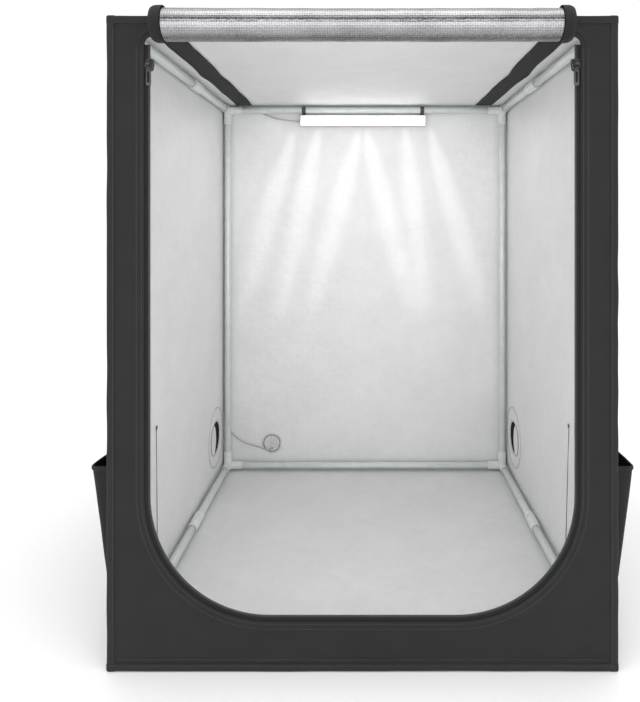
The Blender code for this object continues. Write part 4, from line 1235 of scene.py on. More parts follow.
@dataclass
class ZipFastener:
    """The zip round the door opening: tape, teeth, two sliders and their pulls."""

    edge: OpeningEdge = field(default_factory=OpeningEdge)
    slider_z: float = 0.713
    slider_x: float = 0.2502
    pin_y: float = -0.3043

    def build(self) -> None:
        """Makes the tape, the teeth, the sliders and the pulls."""
        self.tape()
        self.teeth()
        for side, sign in (("left", -1), ("right", 1)):
            self.slider(side, sign)
            self.pull(side, sign)

    def tape(self) -> None:
        """The tape that edges the opening."""
        offsets = [0.0003, 0.0014, 0.0030, 0.0046, 0.0066]
        heights = [0.0, -0.0002, -0.0004, -0.0003, 0.0]
        rows = np.stack([self.edge.zip_run(o) for o in offsets])
        y = FRONT + 0.0004 - np.array(heights)[:, None] * np.ones(rows.shape[1])
        points = np.stack([rows[..., 0], y, rows[..., 1]], axis=-1)
        run = np.concatenate([[0], np.cumsum(np.linalg.norm(np.diff(rows[2], axis=0), axis=1))])
        flat = np.stack(np.meshgrid(run, offsets), axis=-1)[..., ::-1]
        piece = cloth("zip_tape_strip", points, flat, Finish.ZIP_TAPE, Finish.ZIP_TAPE, (0, -1, 0), 0.0009)
        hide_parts("zipper_track")
        dress(piece, Finish.ZIP_TAPE)

    def teeth(self) -> None:
        """One side's row of coil teeth along the tape's free edge."""
        template, faces = bead(0.0026, 0.0011, 0.0017)
        template = template[:, [1, 0, 2]]
        run = self.edge.zip_run(0.0007)
        path = np.stack([run[:, 0], np.full(len(run), FRONT + 0.0006), run[:, 1]], 1)
        places, direction = along_path(path, 0.0019, 0.002)
        clear = ~((np.abs(places[:, 2] - self.slider_z) < 0.0078))
        row = repeated("zip_tooth_row", template, faces, places[clear], direction[clear],
                       np.array([0.0, -1, 0]))
        face_out(row)
        dress(row, Finish.TEETH)
        cord = swept("zip_tooth_cord", path + np.array([0, -0.0001, 0]), 0.0006, 0.0008, 8, (0, -1, 0))
        dress(cord, Finish.TEETH)

    def slider(self, side: str, sign: int) -> None:
        """A slider: two waisted plates, the bridge between them and the bail that holds the pull."""
        body = f"zip_slider_{side}"
        half_w, half_h = 0.0047, 0.0069
        outline = np.array([(-half_w, half_h - 0.0022), (-half_w + 0.0014, half_h),
                            (half_w - 0.0014, half_h),
                            (half_w, half_h - 0.0022), (half_w, 0.0008),
                            (half_w - 0.0010, -half_h + 0.0020),
                            (half_w - 0.0022, -half_h), (-half_w + 0.0022, -half_h),
                            (-half_w + 0.0010, -half_h + 0.0020),
                            (-half_w, 0.0008)])
        pieces = []
        for name, y, thick in (("front", FRONT - 0.0012, 0.0015), ("rear", FRONT + 0.0030, 0.0012)):
            place = Matrix.Translation((sign * self.slider_x, y,
                                        self.slider_z)) @ Matrix.Rotation(math.pi / 2, 4, "X")
            pieces.append(prism(f"slider_{name}", outline, thick, place, 0.0004))
        inner = sign * (OPENING_HALF - 0.0024)
        low, high = sorted((inner, inner - sign * 0.0018))
        pieces.append(block("slider_bridge", (low, FRONT - 0.0012, self.slider_z + 0.001),
                            (high, FRONT + 0.0030, self.slider_z + 0.0062), 0.0003))
        for flange in (-1, 1):
            x = sign * self.slider_x + flange * (half_w - 0.0004)
            pieces.append(block("slider_flange", (x - 0.0004, FRONT - 0.0020, self.slider_z - 0.0040),
                                (x + 0.0004, FRONT - 0.0008, self.slider_z + 0.0048), 0.0002, 2))
        turn = np.radians(np.linspace(0, 180, 13))
        bail = np.stack([np.full(13, sign * self.slider_x), self.pin_y + 0.0024 - 0.0034 * np.sin(turn),
                         self.slider_z + 0.0028 * np.cos(turn)], 1)
        for offset in (-0.0027, 0.0027):
            pieces.append(swept("slider_ear", bail + np.array([offset, 0, 0]), 0.0006, 0.0005, 10, None))
        rod = np.stack([np.linspace(-0.0027, 0.0027, 5) + sign * self.slider_x, np.full(5, self.pin_y),
                        np.full(5, self.slider_z)], 1)
        pieces.append(swept("slider_pin", rod, 0.0008, 0.0008, 14, None))
        piece = joined(f"slider_{side}_body", *pieces)
        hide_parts(f"zip_slider_{side}")
        dress(piece, Finish.SLIDER, body, 35)

    def pull(self, side: str, sign: int) -> None:
        """A pull tab with an eye and a slot."""
        body = f"zip_pull_{side}"
        centre = (sign * self.slider_x, self.pin_y, self.slider_z)
        neck = [(-0.0017, -0.0010), (0.0017, -0.0010), (0.0018, -0.0034), (0.0029, -0.0058),
                (0.0031, -0.0230)]
        sweep = np.radians(np.linspace(12, 168, 11))
        foot = [(0.0031 * math.cos(a), -0.0230 - 0.0026 * math.sin(a)) for a in sweep]
        outline = np.array([neck[1], *neck[2:], *foot, (-0.0031, -0.0230), (-0.0029, -0.0058),
                            (-0.0018, -0.0034), neck[0]])
        place = Matrix.Translation(centre) @ Matrix.Rotation(math.pi / 2, 4, "X")
        tab = prism("pull_tab", outline, 0.0012, place, 0.0003)
        hole = np.array([(0.0015 * math.cos(a),
                          (-0.0205 if math.sin(a) < 0 else -0.0105) + 0.0015 * math.sin(a))
                         for a in np.radians(np.linspace(-90, 270, 28, endpoint=False))])
        slot = prism("pull_slot", hole, 0.006, place, 0)
        cut(tab, slot)
        eye = turned("pull_eye", [(0.0019, -0.0017), (0.0019, 0.0017), (0.0011, 0.0017), (0.0011, -0.0017)],
                     centre, (1, 0, 0), 24)
        piece = joined(f"pull_{side}_tab", tab, eye)
        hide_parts(f"zip_pull_{side}")
        dress(piece, Finish.SLIDER, body, 35)


@dataclass
class LightBar:
    """The LED bar under the rear top rail: channel, end caps, frosted lens and two snap clips."""

    left: float = -0.136
    right: float = 0.128
    low: float = 0.7247
    high: float = 0.7467
    front: float = 0.2817
    rear: float = 0.2937
    lens_front: float = 0.2791
    rail_z: float = 0.7577
    rail_y: float = 0.2877
    body: str = "led_bar"

    def build(self) -> None:
        """Makes the channel, the lens and the clips."""
        shell = block("bar_shell", (self.left, self.front, self.low), (self.right, self.rear, self.high),
                      0.0012, 4)
        trough = block("bar_trough", (self.left + 0.0016, self.front - 0.01, self.low + 0.0016),
                       (self.right - 0.0016, self.rear - 0.0016, self.high - 0.0016), 0.0004, 1)
        cut(shell, trough)
        caps = []
        for x in (self.left, self.right - 0.0032):
            caps.append(block("bar_cap", (x - 0.0002, self.front - 0.0003, self.low - 0.0003),
                              (x + 0.0034, self.rear + 0.0003, self.high + 0.0003), 0.0011, 4))
        piece = joined("bar_channel", shell, *caps)
        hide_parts("led_housing")
        dress(piece, Finish.HOUSING, self.body, 35)
        lens = block("bar_lens", (self.left + 0.0034, self.lens_front, self.low + 0.0019),
                     (self.right - 0.0034, self.rear - 0.0019, self.high - 0.0019), 0.0030, 5)
        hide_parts("led_lens")
        dress(lens, Finish.LENS, self.body, 50)
        for side, x in (("left", self.left + 0.008), ("right", self.right - 0.008)):
            self.clip(side, x)

    def clip(self, side: str, x: float) -> None:
        """One snap clip round the rail, with a foot on the channel."""
        outer, inner = 0.0085, 0.0068
        sweep = np.radians(np.linspace(122, 418, 45))
        rim = [(outer * math.cos(a), outer * math.sin(a)) for a in sweep]
        bore = [(inner * math.cos(a), inner * math.sin(a)) for a in sweep[::-1]]
        place = Matrix(((0, 0, 1, x), (1, 0, 0, self.rail_y), (0, 1, 0, self.rail_z), (0, 0, 0, 1)))
        ring = prism("clip_ring", np.array(rim + bore), 0.0078, place, 0.0004)
        foot = block("clip_foot", (x - 0.0039, self.rail_y - 0.0036, self.high - 0.0002),
                     (x + 0.0039, self.rail_y + 0.0036, self.rail_z - inner - 0.0006), 0.0006, 3)
        piece = joined(f"bar_clip_{side}", ring, foot)
        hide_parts(f"led_clip_{side}")
        dress(piece, Finish.DARK, self.body, 35)


@dataclass
class CeilingBands:
    """Two webbing bands sewn along the ceiling, from front to rear."""

    offset: float = 0.250
    width: float = 0.033
    length: float = 0.5564
    under: float = 0.7664

    def build(self) -> None:
        """Makes both bands and their stitching."""
        sewing = Sewing(pitch=0.0036, length=0.0028, width=0.0008)
        for side, sign, seed in (("left", -1, 71), ("right", 1, 72)):
            y = np.linspace(-self.length / 2, self.length / 2, 140)
            across = np.linspace(-self.width / 2, self.width / 2, 9)
            A, Y = np.meshgrid(across, y)
            wander = 0.0016 * ripple(Y, np.zeros_like(Y), 0.16, seed) + 0.0030 * np.exp(-((Y / 0.03) ** 2))
            if sign > 0:
                wander = wander - 0.0050 * (Y / self.length)
            edge = 1 + 0.030 * ripple(Y, np.sign(A), 0.05, seed + 5)
            x = sign * self.offset + A * edge + sign * wander
            z = self.under + 0.0003 * (1 + ripple(A, Y, 0.03, seed + 9)) * 0.5
            points = np.stack([x, Y, z], axis=-1)
            flat = np.stack([A, Y], axis=-1)
            band = cloth(f"ceiling_band_{side}_webbing", points, flat, Finish.WEBBING, Finish.WEBBING,
                         (0, 0, -1), 0.0011)
            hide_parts(f"ceiling_band_{side}")
            dress(band, Finish.WEBBING)
            for edge_sign in (-1, 1):
                path = np.stack([x[:, 4] + edge_sign * (self.width / 2 - 0.0032), y,
                                 np.full(len(y), self.under - 0.0001)], 1)
                sewing.row(f"band_stitches_{side}_{'in' if edge_sign < 0 else 'out'}", path, (0, 0, -1))


@dataclass
class SidePockets:
    """An open-topped slack pocket low on each side, divided in two by a sewn line."""

    front: float = -0.255
    rear: float = -0.005
    bottom: float = 0.068
    top: float = 0.222
    flare: float = 0.0376
    divide: float = -0.130

    def build(self) -> None:
        """Makes both pockets."""
        for side, sign, bow in (("left", -1, 0.0), ("right", 1, 0.0035)):
            self.pocket(side, sign, bow)

    def pocket(self, side: str, sign: int, bow: float) -> None:
        """One pocket: its slack front and gusseted ends, rim binding, foot seam and divider."""
        wall = HALF_WIDTH + 0.0007
        span = self.rear - self.front
        corner = 0.005
        arc_in = np.linspace(0, 1, 9)
        plan = [(0.0, 0.0)] + [(0.0 + 0.0 * s, s) for s in (0.25, 0.5, 0.72)]
        turn = [(corner / span * (1 - math.cos(s * math.pi / 2)),
                 0.72 + 0.28 * math.sin(s * math.pi / 2)) for s in arc_in[1:]]
        middle = [(s, 1.0) for s in np.linspace(corner / span, 1 - corner / span, 44)[1:-1]]
        plan = plan + turn + middle + [(1 - a, b) for a, b in (plan + turn)[::-1]]
        plan = np.array(plan)
        rise = np.linspace(0, 1, 34)
        S, U = np.meshgrid(plan[:, 0], rise)
        F = np.broadcast_to(plan[:, 1], S.shape)
        swell = np.sin(np.pi * S)
        pinch = 1 - 0.30 * np.exp(-(((S - 0.5) * span / 0.016) ** 2)) * U**0.5
        out = (0.0010 + 0.0160 * np.clip(U / 0.10, 0,
                                         1) ** 0.5 + (self.flare - 0.017) * U) * pinch + bow * swell * U
        sag = 0.0030 * np.sin(2 * np.pi * S) ** 2 * U**3
        y = self.front + span * S
        z = self.bottom + (self.top - self.bottom) * U - sag * F
        x = wall + out * F + ripple(y, z, 0.05, 81 + sign) * 0.0008 * F * U
        points = np.stack([sign * x, y, z], axis=-1)
        run = np.concatenate([[0], np.cumsum(np.linalg.norm(np.diff(points[-1], axis=0), axis=1))])
        flat = np.stack([np.broadcast_to(run, S.shape), z], axis=-1)
        # The pocket's inner side is black cloth with painted shade.
        pouch = cloth(f"pocket_{side}_cloth", points, flat, Finish.BLACK, Finish.PAINTED_SHADE_CLOTH, (sign, 0, 0),
                      0.0011)
        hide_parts(f"side_pocket_{side}")
        dress(pouch, Finish.BLACK)
        rim = swept(f"pocket_{side}_rim", points[-1] + np.array([0, 0, -0.0012]), 0.0011, 0.0030, 12,
                    (0, 0, 1))
        dress(rim, Finish.BINDING)
        row = int(len(plan) / 2)
        seam_x = points[:, row, 0]
        inner = sign * (HALF_WIDTH + 0.0008)
        depth = np.linspace(0, 1, 8)
        D, K = np.meshgrid(depth, np.arange(len(rise)))
        dx = inner + (seam_x[K] - inner - sign * 0.0006) * D
        divider = np.stack([dx, np.full_like(dx, self.divide) + 0.0012 * np.sin(D * 3.1),
                            points[:, row, 2][K]], axis=-1)
        flat = np.stack([D * self.flare, points[:, row, 2][K]], axis=-1)
        # The divider sits inside the pocket and is coloured all over with painted shade.
        web = cloth(f"pocket_{side}_divider", divider, flat, Finish.PAINTED_SHADE_CLOTH, Finish.PAINTED_SHADE_CLOTH, (0, 1, 0),
                    0.0009)
        dress(web, Finish.PAINTED_SHADE_CLOTH)
        sewing = Sewing()
        out_x = sign * (HALF_WIDTH + 0.0018)
        for label, path in (("foot", line((out_x, self.front, self.bottom + 0.0035),
                                          (out_x, self.rear, self.bottom + 0.0035))),):
            tape = swept(f"pocket_{side}_{label}_tape",
                         line(tuple(path[0]), tuple(path[-1]), 40) - np.array([sign * 0.0008, 0, 0.003]),
                         0.0040, 0.0006, 10, (sign, 0, 0))
            dress(tape, Finish.BINDING)
            sewing.row(f"pocket_{side}_{label}_stitches", path - np.array([sign * 0.0005, 0, 0.0025]),
                       (sign, 0, 0))
        face = points[:, row] + np.array([sign * 0.0004, 0.0, 0.0])
        sewing.row(f"pocket_{side}_divider_stitches", face, (sign, 0, 0))


@dataclass
class CablePorts:
    """The round ports: a rim, an inner flap and a collar at each side, and a sleeve at the rear."""

    y: float = 0.225
    z: float = 0.093
    radius: float = 0.030
    flap_y: float = 0.213

    def build(self) -> None:
        """Makes the ports."""
        for side, sign in (("left", -1), ("right", 1)):
            self.rim(side, sign)
            self.collar(side, sign)
            self.patch(side, sign)
            self.flap(side, sign)
        self.sleeve()

    def _round(self, name: str, radii: list, heights: list, centre: tuple, sign: int, finish: Finish,
               inner: Finish, thick: float, gather: float = 0.0, seed: int = 0) -> bpy.types.Object:
        """A round sheet on a side wall.

        Args:
            name: the piece's name.
            radii: its rings, from the inside out.
            heights: how far each ring stands out of the wall.
            centre: (x, y, z) of its middle.
            sign: which side: 1 faces +X.
            finish: the outward side's finish.
            inner: the other side's finish.
            thick: the cloth's thickness.
            gather: how deep its gathers are.
            seed: which gathers.

        Returns:
            The sheet.
        """
        angle = np.linspace(0, 2 * math.pi, 96, endpoint=False)
        R, A = np.meshgrid(radii, angle, indexing="ij")
        fold = np.sin(18 * A + np.sin(A * 3 + seed))
        share = (radii[-1] - R) / (radii[-1] - radii[0] + 1e-9)
        H = np.array(heights)[:, None] + gather * fold * share
        points = np.stack([centre[0] + sign * H, centre[1] + R * np.cos(A), centre[2] + R * np.sin(A)],
                          axis=-1)
        flat = np.stack([R * np.cos(A), R * np.sin(A)], axis=-1)
        return cloth(name, points, flat, finish, inner, (sign, 0, 0), thick, True)

    def rim(self, side: str, sign: int) -> None:
        """The sewn ring round the hole, on the outside."""
        centre = (sign * (HALF_WIDTH + 0.0008), self.y, self.z)
        piece = self._round(f"port_{side}_rim", [self.radius, 0.0306, 0.0330, 0.0390, 0.0412, 0.0420],
                            [-0.0002, 0.0008, 0.0011, 0.0010, 0.0007, 0.0001], centre, sign, Finish.BINDING,
                            Finish.BINDING, 0.0008)
        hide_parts(f"side_port_rim_{side}")
        dress(piece, Finish.BINDING)
        angle = np.linspace(0, 2 * math.pi, 90)
        for index, r in enumerate((0.0324, 0.0396)):
            path = np.stack([np.full(90, centre[0] + sign * 0.0011), self.y + r * np.cos(angle),
                             self.z + r * np.sin(angle)], 1)
            Sewing().row(f"port_{side}_stitches_{index + 1}", path, (sign, 0, 0))

    def collar(self, side: str, sign: int) -> None:
        """Gathered black cloth that closes most of the hole."""
        centre = (sign * (HALF_WIDTH - 0.0013), self.y, self.z)
        # The collar's cloth is darkened to painted shade for the inside of the hole.
        piece = self._round(f"port_{side}_collar", [0.0030, 0.0075, 0.012, 0.020, 0.028, 0.0303],
                            [0.0006, 0.0006, 0.0004, 0.0002, 0.0, 0.0004], centre, sign, Finish.PAINTED_SHADE_CLOTH,
                            Finish.PAINTED_SHADE_CLOTH, 0.0004, 0.0004, sign)
        dress(piece, Finish.PAINTED_SHADE_CLOTH)

    def patch(self, side: str, sign: int) -> None:
        """The sewn foil patch round the hole, on the inside."""
        centre = (sign * (HALF_WIDTH - 0.0014), self.y, self.z)
        piece = self._round(f"port_{side}_patch", [self.radius + 0.0004, 0.0340, 0.0450, 0.0560, 0.0600],
                            [0.0002, 0.0006, 0.0006, 0.0006, 0.0002], centre, -sign, Finish.FOIL,
                            Finish.FOIL, 0.0006)
        dress(piece, Finish.FOIL)
        angle = np.linspace(0, 2 * math.pi, 120)
        for index, r in enumerate((0.0335, 0.0575)):
            path = np.stack([np.full(120, centre[0] - sign * 0.0006), self.y + r * np.cos(angle),
                             self.z + r * np.sin(angle)], 1)
            Sewing(pitch=0.0042).row(f"port_{side}_patch_stitches_{index + 1}", path, (-sign, 0, 0))

    def flap(self, side: str, sign: int) -> None:
        """The inner flap, a foil disc with a bound edge, hinged at its front."""
        body = f"port_flap_{side}"
        x = sign * 0.2979
        piece = self._round(f"port_{side}_flap", [0.0006, 0.008, 0.016, 0.023, 0.0270, 0.0285, 0.0298],
                            [0.0008, 0.0008, 0.0007, 0.0006, 0.0007, 0.0007, 0.0007],
                            (x, self.flap_y, self.z),
                            -sign, Finish.FOIL, Finish.BLACK, 0.0007)
        to_hinge = Matrix.Translation((0, -self.flap_y, 0))
        from_hinge = Matrix.Translation((0, self.flap_y, 0))
        narrow = Matrix.Diagonal((1, 0.66, 1, 1))
        squeeze = Matrix.Translation((0, -0.0095, 0)) @ from_hinge @ narrow @ to_hinge
        piece.data.transform(squeeze)
        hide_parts(f"side_port_flap_{side}")
        dress(piece, Finish.FOIL, body)
        angle = np.linspace(0, 2 * math.pi, 73)
        path = np.stack([np.full(73, x - sign * 0.0005), self.flap_y - 0.0095 + 0.0193 * np.cos(angle),
                         self.z + 0.0292 * np.sin(angle)], 1)
        edge = swept(f"port_{side}_flap_edge", path[:-1], 0.0006, 0.0005, 8, (sign, 0, 0))
        dress(edge, Finish.BINDING, body)

    def sleeve(self) -> None:
        """The drawn-in sleeve that the bar's lead leaves by."""
        x, z = -0.197, 0.055
        depth = np.array([0.0, 0.0012, 0.0030, 0.0055, 0.0080, 0.0105, 0.0128, 0.0143])
        radius = np.array([0.0196, 0.0182, 0.0176, 0.0170, 0.0163, 0.0156, 0.0150, 0.0146])
        angle = np.linspace(0, 2 * math.pi, 144, endpoint=False)
        D, A = np.meshgrid(depth, angle, indexing="ij")
        R = radius[:, None] + 0.0009 * np.sin(22 * A + 0.8 * np.sin(2 * A)) * np.clip(D / 0.006, 0, 1)
        points = np.stack([x + R * np.cos(A), HALF_DEPTH + 0.0008 + D, z + R * np.sin(A)], axis=-1)
        flat = np.stack([A * 0.016, D], axis=-1)
        out = np.stack([np.cos(A), 0 * A, np.sin(A)], axis=-1)
        # The sleeve's inner side is black cloth with painted shade.
        piece = cloth("rear_port_cloth", points, flat, Finish.BLACK, Finish.PAINTED_SHADE_CLOTH, out, 0.0008, True)
        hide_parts("rear_port_sleeve")
        dress(piece, Finish.BLACK)
        share = np.array([0.0, 0.10, 0.30, 0.55, 0.78, 0.93, 1.0])
        T, A = np.meshgrid(share, angle, indexing="ij")
        R = 0.0172 + (0.0024 - 0.0172) * T
        pleat = 0.0018 * np.sin(16 * A + 0.9 * np.sin(3 * A)) * np.sin(np.pi * np.clip(T, 0, 0.93)) ** 0.7
        points = np.stack([x + R * np.cos(A), HALF_DEPTH - 0.0002 + pleat + 0.0012 * T,
                           z - 0.0105 * T + R * np.sin(A)], axis=-1)
        flat = np.stack([R * np.cos(A), R * np.sin(A)], axis=-1)
        piece = cloth("rear_port_gather", points, flat, Finish.BLACK, Finish.FOIL, (0, 1, 0), 0.0005, True)
        dress(piece, Finish.FOIL)
        loop = np.linspace(0, 2 * math.pi, 120)[:-1]
        path = np.stack([x + 0.0173 * np.cos(loop), np.full(119, HALF_DEPTH - 0.0015),
                         z + 0.0173 * np.sin(loop)], 1)
        dress(swept("rear_port_edge", path, 0.0008, 0.0006, 8, (0, 1, 0)), Finish.BINDING)
        path = np.stack([x + 0.0206 * np.cos(loop), np.full(119, HALF_DEPTH - 0.0014),
                         z + 0.0206 * np.sin(loop)], 1)
        Sewing().row("rear_port_inner_stitches", path, (0, -1, 0))
        path = np.stack([x + 0.0152 * np.cos(loop), np.full(119, HALF_DEPTH + 0.0125),
                         z + 0.0152 * np.sin(loop)], 1)
        dress(swept("rear_port_elastic", path, 0.0012, 0.0009, 8, (0, 1, 0)), Finish.WEBBING)
        path = np.stack([x + 0.0222 * np.cos(loop), np.full(119, HALF_DEPTH + 0.0004),
                         z + 0.0222 * np.sin(loop)], 1)
        Sewing().row("rear_port_stitches", path, (0, 1, 0))


@dataclass
class InnerSeams:
    """The sewn line low on each side wall's inner face, with a small tack at its top."""

    low: float = 0.050
    high: float = 0.230

    def build(self) -> None:
        """Sews both lines."""
        sewing = Sewing(pitch=0.0040, length=0.0032, width=0.0009, height=0.0009)
        for side, sign, foot, y in (("left", -1, -0.127, -0.132), ("right", 1, -0.109, -0.124)):
            x = sign * (HALF_WIDTH - 0.0019)
            sewing.row(f"inner_seam_{side}", line((x, foot, self.low), (x, y, self.high)), (-sign, 0, 0))
            tack = block(f"inner_tack_{side}", (min(x, x - sign * 0.0012), y - 0.0022, self.high - 0.002),
                         (max(x, x - sign * 0.0012), y + 0.0022, self.high + 0.0035), 0.0005, 2)
            dress(tack, Finish.THREAD)


@dataclass
class Lead:
    """The light bar's lead, from the bar out of the rear port to its coil, switch and plug."""

    diameter: float = 0.003
    bend: float = 0.008
    coil: tuple = (-0.080, 0.347)
    ring: float = 0.017
    strand: float = 0.0035
    lane: float = 0.364

    def route(self) -> list:
        """The lead's way from the bar to the switch."""
        bend = self.bend
        angles = (math.radians(30), math.radians(60))
        corner = [(-0.2877 - bend * math.sin(a), 0.2962, 0.7577 + bend * math.cos(a)) for a in angles]
        return [
            (-0.1363, 0.2877, 0.7357), (-0.1503, 0.2882, 0.7362), (-0.1703, 0.2899, 0.7387),
            (-0.1943, 0.2932, 0.7442),
            (-0.2163, 0.2962, 0.7532), (-0.2343, 0.2962, 0.7607), (-0.2543, 0.2962, 0.7657),
            (-0.2663, 0.2962, 0.7657),
            (-0.2797, 0.2962, 0.7657), (-0.2877, 0.2962, 0.7657), *corner, (-0.2957, 0.2962, 0.7577),
            (-0.2957, 0.2962, 0.7497), (-0.2957, 0.2962, 0.385), (-0.2957, 0.2962, 0.170),
            (-0.2957, 0.2962, 0.115),
            (-0.2927, 0.2962, 0.096), (-0.2817, 0.2962, 0.078), (-0.2597, 0.2952, 0.060),
            (-0.223, 0.2902, 0.0495),
            (-0.208, 0.2882, 0.0455), (-0.1998, 0.2917, 0.0445), (-0.197, 0.304, 0.0445),
            (-0.197, 0.3183, 0.0435),
            (-0.196, 0.3283, 0.035), (-0.194, 0.3348, 0.0205), (-0.190, 0.341, 0.008),
            (-0.183, 0.349, 0.0027),
            (-0.172, 0.355, 0.0017), (-0.1516, 0.361, 0.0023), (-0.1299, 0.364, 0.005),
        ]

    def turns(self) -> list:
        """The wound turns, clockwise from above, each in its own place in the bundle."""
        places = [(self.strand * math.cos(a),
                   self.strand * math.sin(a)) for a in np.radians(np.arange(60, 361, 60))]
        found = []
        for index in range(len(places) - 1):
            here, following = places[index], places[index + 1]
            for step in range(24):
                turn = step / 24 * 360
                share = min(max((turn - 30) / 70, 0), 1)
                share = share * share * (3 - 2 * share)
                out = self.ring + here[0] * (1 - share) + following[0] * share
                up = 0.0046 + here[1] * (1 - share) + following[1] * share
                angle = math.radians(90 - turn)
                found.append((self.coil[0] + out * math.cos(angle), self.coil[1] + out * math.sin(angle),
                              up))
        return found

    def build(self) -> None:
        """Makes the lead and what is on it."""
        first = smooth_path(self.route(), 0)
        last = self.coil[1] + self.ring + self.strand
        middle = [(-0.1299, self.lane, 0.005), (-0.1147, self.lane, 0.0039), (-0.0996, self.lane, 0.0052),
                  (-0.0935, self.lane + 0.0005, 0.0072), (-0.0870, self.lane + 0.0014, 0.0078)]
        after = [(-0.0800, last, 0.0046), (-0.0720, last - 0.0010, 0.0044),
                 (-0.0655, self.lane + 0.0006, 0.0042),
                 (-0.0590, self.lane, 0.0040), (-0.0500, self.lane, 0.0040)]
        second = smooth_path([*middle, *self.turns(), *after], 0)
        path = np.concatenate([first, second[1:]])
        lead = swept("bar_lead", path, self.diameter / 2, self.diameter / 2, 12, None)
        lead.data.materials.append(Finish.SHEATH.material())
        only(lead)
        bpy.ops.object.shade_smooth()
        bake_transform(lead)
        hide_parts("led_lead", "lead_coil")
        extras = [*self.switch(), *self.plug(), self.relief()]

    def relief(self) -> bpy.types.Object:
        """The tapered strain relief where the lead leaves the bar."""
        rings = [(0, 0.0), (0.0034, 0.0)]
        for i in range(5):
            z = 0.0008 + i * 0.0021
            r = 0.0033 - i * 0.00027
            rings += [(r, z), (r, z + 0.0011), (r - 0.0006, z + 0.0013), (r - 0.0006, z + 0.0019)]
        rings += [(0.0018, 0.0118), (0, 0.0118)]
        piece = turned("lead_relief_bar", rings, (-0.1360, 0.2877, 0.7357), (-1, 0.02, 0.02), 28)
        return dress(piece, Finish.SHEATH, "led_bar", 35)

    def switch(self) -> list:
        """The in-line switch: a rounded case with a seam and end noses, and its round button."""
        low, high = -0.12963, -0.09963
        case = block("switch_case", (low, self.lane - 0.0065, 0.0001), (high, self.lane + 0.0065, 0.0100),
                     0.0022, 5)
        seam = block("switch_seam", (low - 0.001, self.lane - 0.0075, 0.0050),
                     (high + 0.001, self.lane - 0.0062, 0.0053), 0.0, 1)
        cut(case, seam)
        seam = block("switch_seam", (low - 0.001, self.lane + 0.0062, 0.0050),
                     (high + 0.001, self.lane + 0.0075, 0.0053), 0.0, 1)
        cut(case, seam)
        middle = (low + high) / 2
        well = turned("switch_well", [(0, 0.0), (0.0041, 0.0), (0.0041, 0.01), (0, 0.01)],
                      (middle, self.lane, 0.0055), (0, 0, 1), 48)
        cut(case, well)
        noses = []
        for x, way in ((low + 0.0006, -1), (high - 0.0006, 1)):
            profile = [(0, 0.0), (0.0031, 0.0), (0.0029, 0.0022), (0.0024, 0.0026), (0.0025, 0.0040),
                       (0.0021, 0.0044),
                       (0.0021, 0.0058), (0.0017, 0.0062), (0, 0.0062)]
            noses.append(turned("switch_nose", profile, (x, self.lane, 0.0050), (way, 0, 0), 28))
        piece = joined("switch_case", case, *noses)
        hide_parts("lead_switch")
        dress(piece, Finish.DARK, "tent", 35)
        profile = [(0, 0.0), (0.0038, 0.0), (0.0038, 0.0042), (0.0035, 0.0047), (0.0027, 0.0048),
                   (0.0020, 0.0046), (0, 0.0045)]
        button = turned("switch_cap", profile, (middle, self.lane, 0.0070), (0, 0, 1), 40)
        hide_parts("switch_button")
        dress(button, Finish.HOUSING, "switch_button", 35)
        return [piece, button]

    def plug(self) -> list:
        """The plug: a ribbed grip with a tapered relief, and its folded steel shell."""
        low, mid, high = -0.05974, -0.03574, -0.02374
        grip = block("plug_grip", (low, self.lane - 0.00775, 0.0001), (mid, self.lane + 0.00775, 0.0080),
                     0.0018, 5)
        for i in range(4):
            x = low + 0.0050 + i * 0.0030
            for sign in (-1, 1):
                y0, y1 = sorted((self.lane + sign * 0.0072, self.lane + sign * 0.0085))
                cut(grip, block("plug_groove", (x, y0, -0.001), (x + 0.0012, y1, 0.009), 0.0, 1))
        nose = turned("plug_nose", [(0, 0.0), (0.0034, 0.0), (0.0030, 0.0028), (0.0025, 0.0031),
                                    (0.0026, 0.0048),
                                    (0.0022, 0.0051), (0.0022, 0.0066), (0.0017, 0.0070), (0, 0.0070)],
                      (low + 0.0006, self.lane, 0.0040), (-1, 0, 0), 28)
        grip = joined("plug_grip", grip, nose)
        dress(grip, Finish.DARK, "tent", 35)
        shell = block("plug_shell", (mid - 0.002, self.lane - 0.0060, 0.00175),
                      (high, self.lane + 0.0060, 0.00625), 0.0004, 2)
        mouth = block("plug_mouth", (mid + 0.003, self.lane - 0.0057, 0.00205),
                      (high + 0.002, self.lane + 0.0057, 0.00595), 0.0001, 1)
        cut(shell, mouth)
        for sign in (-1, 1):
            window = block("plug_window", (mid + 0.0042, self.lane + sign * 0.0027 - 0.0011, 0.0055),
                           (mid + 0.0066, self.lane + sign * 0.0027 + 0.0011, 0.0080), 0.0, 1)
            cut(shell, window)
        tongue = block("plug_tongue", (mid, self.lane - 0.0055, 0.0021),
                       (high - 0.001, self.lane + 0.0055, 0.0040), 0.0002, 2)
        dress(tongue, Finish.HOUSING, "tent", 35)
        dress(shell, Finish.STEEL, "tent", 35)
        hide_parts("usb_plug")
        return [grip, shell, tongue]


